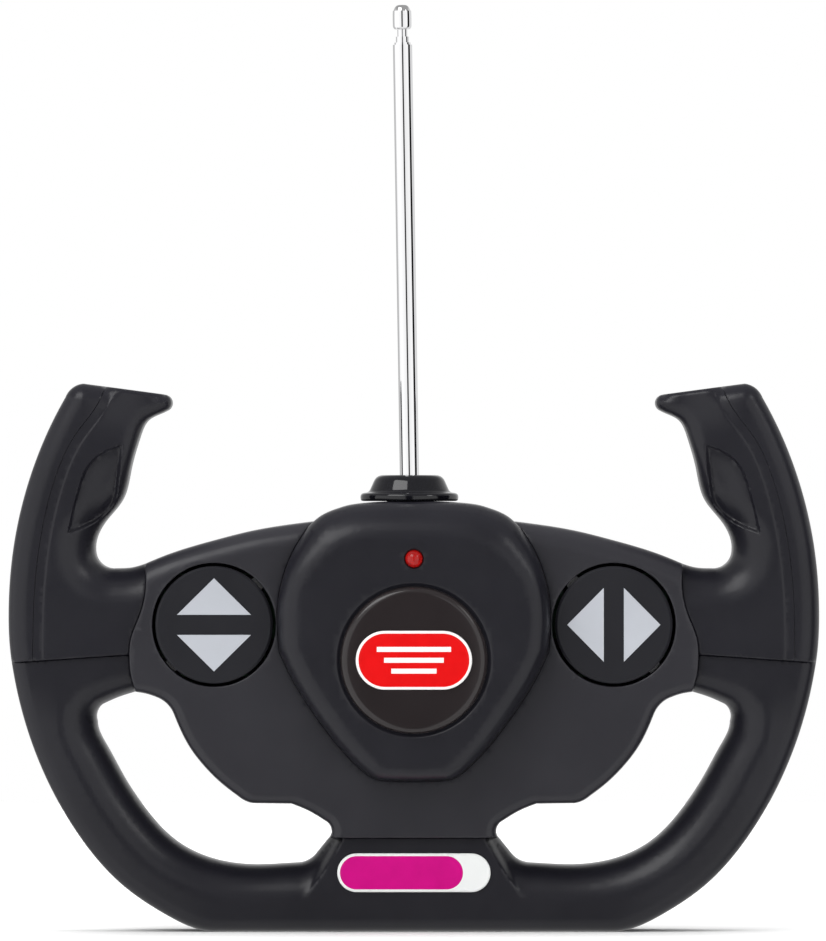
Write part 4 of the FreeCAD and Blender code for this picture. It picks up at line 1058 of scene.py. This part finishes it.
def make_stage():
    """A plain pale floor, which the glossy parts don't mirror."""
    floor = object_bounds()[0][2]
    places = [(x, y, floor) for x, y in ((-1, -1), (1, -1), (1, 1), (-1, 1))]
    mesh = bpy.data.meshes.new("floor")
    mesh.from_pydata(places, [], [(0, 1, 2, 3)])
    item = bpy.data.objects.new("floor", mesh)
    bpy.context.scene.collection.objects.link(item)
    material, *_, shader = new_material("pale_floor")
    shader.inputs["Base Color"].default_value = (0.92, 0.92, 0.92, 1)
    shader.inputs["Roughness"].default_value = 0.9
    shader.inputs["Specular IOR Level"].default_value = 0.1
    paint(item, material)
    item.visible_glossy = False


def add_softbox(name, place, aim, width, height, power):
    """A rectangular light at a place, turned to face its aim."""
    light = bpy.data.lights.new(name, "AREA")
    light.shape = "RECTANGLE"
    light.size = width
    light.size_y = height
    light.energy = power
    item = bpy.data.objects.new(name, light)
    item.location = place
    item.rotation_euler = (Vector(aim) - Vector(place)).to_track_quat("-Z", "Y").to_euler()
    bpy.context.scene.collection.objects.link(item)
    return item


# How bright the studio is round the horizon, by the turn in degrees from the front (-Y)
# towards +X. It fades to SKY and GROUND over a range of the direction's height.
TENT = ((-180, 0.9), (-146, 0.5), (-112, 0.6), (-100, 1.1), (-60, 1.15), (-11, 1.0),
        (-7, 0.02), (6, 0.02), (10, 0.95), (58, 1.05), (68, 1.0), (72, 0.0), (98, 0.0),
        (102, 0.85), (140, 0.7), (180, 0.9))
SKY = 0.36
SKY_RANGE = (0.3, 0.6)
GROUND = 0.85
GROUND_RANGE = (-0.5, -0.75)


def make_tent():
    """A white studio tent with a dark gap where the camera stands and another at one side.

    The camera sees plain white behind the object instead."""
    world = bpy.data.worlds.new("studio")
    world.use_nodes = True
    nodes = world.node_tree.nodes
    links = world.node_tree.links
    backdrop = nodes["Background"]
    backdrop.inputs["Color"].default_value = (1, 1, 1, 1)
    where = nodes.new("ShaderNodeTexCoord")
    split = nodes.new("ShaderNodeSeparateXYZ")
    links.new(where.outputs["Generated"], split.inputs[0])
    forward = nodes.new("ShaderNodeMath")
    forward.operation = "MULTIPLY"
    forward.inputs[1].default_value = -1
    links.new(split.outputs["Y"], forward.inputs[0])
    turn = nodes.new("ShaderNodeMath")
    turn.operation = "ARCTAN2"
    links.new(split.outputs["X"], turn.inputs[0])
    links.new(forward.outputs[0], turn.inputs[1])
    place = nodes.new("ShaderNodeMapRange")
    place.inputs["From Min"].default_value = -math.pi
    place.inputs["From Max"].default_value = math.pi
    links.new(turn.outputs[0], place.inputs["Value"])
    band = nodes.new("ShaderNodeValToRGB")
    stops = band.color_ramp.elements
    while len(stops) < len(TENT):
        stops.new(0.5)
    for stop, (angle, _) in zip(stops, TENT):
        stop.position = (angle + 180) / 360
    for stop, (_, level) in zip(stops, TENT):
        stop.color = (level, level, level, 1)
    links.new(place.outputs["Result"], band.inputs["Fac"])
    shade = band.outputs["Color"]
    for level, (start, end) in ((SKY, SKY_RANGE), (GROUND, GROUND_RANGE)):
        fade = nodes.new("ShaderNodeMapRange")
        fade.interpolation_type = "SMOOTHSTEP"
        fade.inputs["From Min"].default_value = start
        fade.inputs["From Max"].default_value = end
        links.new(split.outputs["Z"], fade.inputs["Value"])
        mix = nodes.new("ShaderNodeMix")
        mix.data_type = "RGBA"
        mix.inputs["B"].default_value = (level, level, level, 1)
        links.new(fade.outputs["Result"], mix.inputs["Factor"])
        links.new(shade, mix.inputs["A"])
        shade = mix.outputs["Result"]
    tent = nodes.new("ShaderNodeBackground")
    links.new(shade, tent.inputs["Color"])
    path = nodes.new("ShaderNodeLightPath")
    choose = nodes.new("ShaderNodeMixShader")
    links.new(path.outputs["Is Camera Ray"], choose.inputs["Fac"])
    links.new(tent.outputs[0], choose.inputs[1])
    links.new(backdrop.outputs[0], choose.inputs[2])
    links.new(choose.outputs[0], nodes["World Output"].inputs["Surface"])
    bpy.context.scene.world = world


def make_light():
    """The tent, two softboxes in front, and an overhead one that keeps the floor white."""
    make_tent()
    target = (0, 0, 0.08)
    add_softbox("key", (-0.7, -0.9, 1.2), target, 1.0, 0.8, 9.5)
    add_softbox("fill", (1.0, -0.7, 0.9), target, 0.3, 0.4, 1.5)
    overhead = add_softbox("overhead", (0, 0.4, 1.9), (0, 0.4, 0), 2.6, 2.0, 48)
    overhead.visible_glossy = False


# ------------------------------------------------------------------ the model

bpy.context.scene.view_settings.view_transform = "Standard"
make_camera()
make_stage()
make_light()
finish_nodes()

rim_front, rim_rear = make_rim()
hub_front = make_hub_front()
pod = make_pod()
hub_rear = make_hub_rear()
left_front, left_rear = make_horn(True)
right_front, right_rear = make_horn(False)
disc = make_disc()
emblem = badge_plate("emblem_badge_skin", "emblem_badge", BADGE_BORDER)
plate = badge_plate("lower_badge_skin", "lower_badge", BADGE_BORDER)
collar = make_collar()
knob = make_knob()

STANDS_FOR = [
    (rim_front, "rim_front", "housing", shell_black, "shell_black"),
    (rim_rear, "rim_rear", "housing", shell_black, "shell_black"),
    # The hub cover's plastic is a lighter copy of shell_black, as painted light.
    (hub_front, "hub_front_cover", "housing", hub_painted_light_black, "shell_black"),
    (pod, "centre_pod_cover", "housing", shell_black, "shell_black"),
    (hub_rear, "rear_hub_shell", "housing", shell_black, "shell_black"),
    (left_front, "left_grip_front", "housing", shell_black, "shell_black"),
    (left_rear, "left_grip_rear", "housing", shell_black, "shell_black"),
    (right_front, "right_grip_front", "housing", shell_black, "shell_black"),
    (right_rear, "right_grip_rear", "housing", shell_black, "shell_black"),
    (disc, "emblem_disc", "housing", disc_black, "gloss_black"),
    (emblem, "emblem_badge", "housing", red_badge, "badge_red"),
    (plate, "lower_badge", "housing", pink_badge, "badge_magenta"),
    (collar, "antenna_collar", "housing", gloss_black, "gloss_black"),
    (knob, "antenna_tip_knob", "aerial_tip", chrome, "aerial_chrome"),
]
for item, node, body, material, slot in STANDS_FOR:
    paint(item, material)
    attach(item, body)
    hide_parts(node)
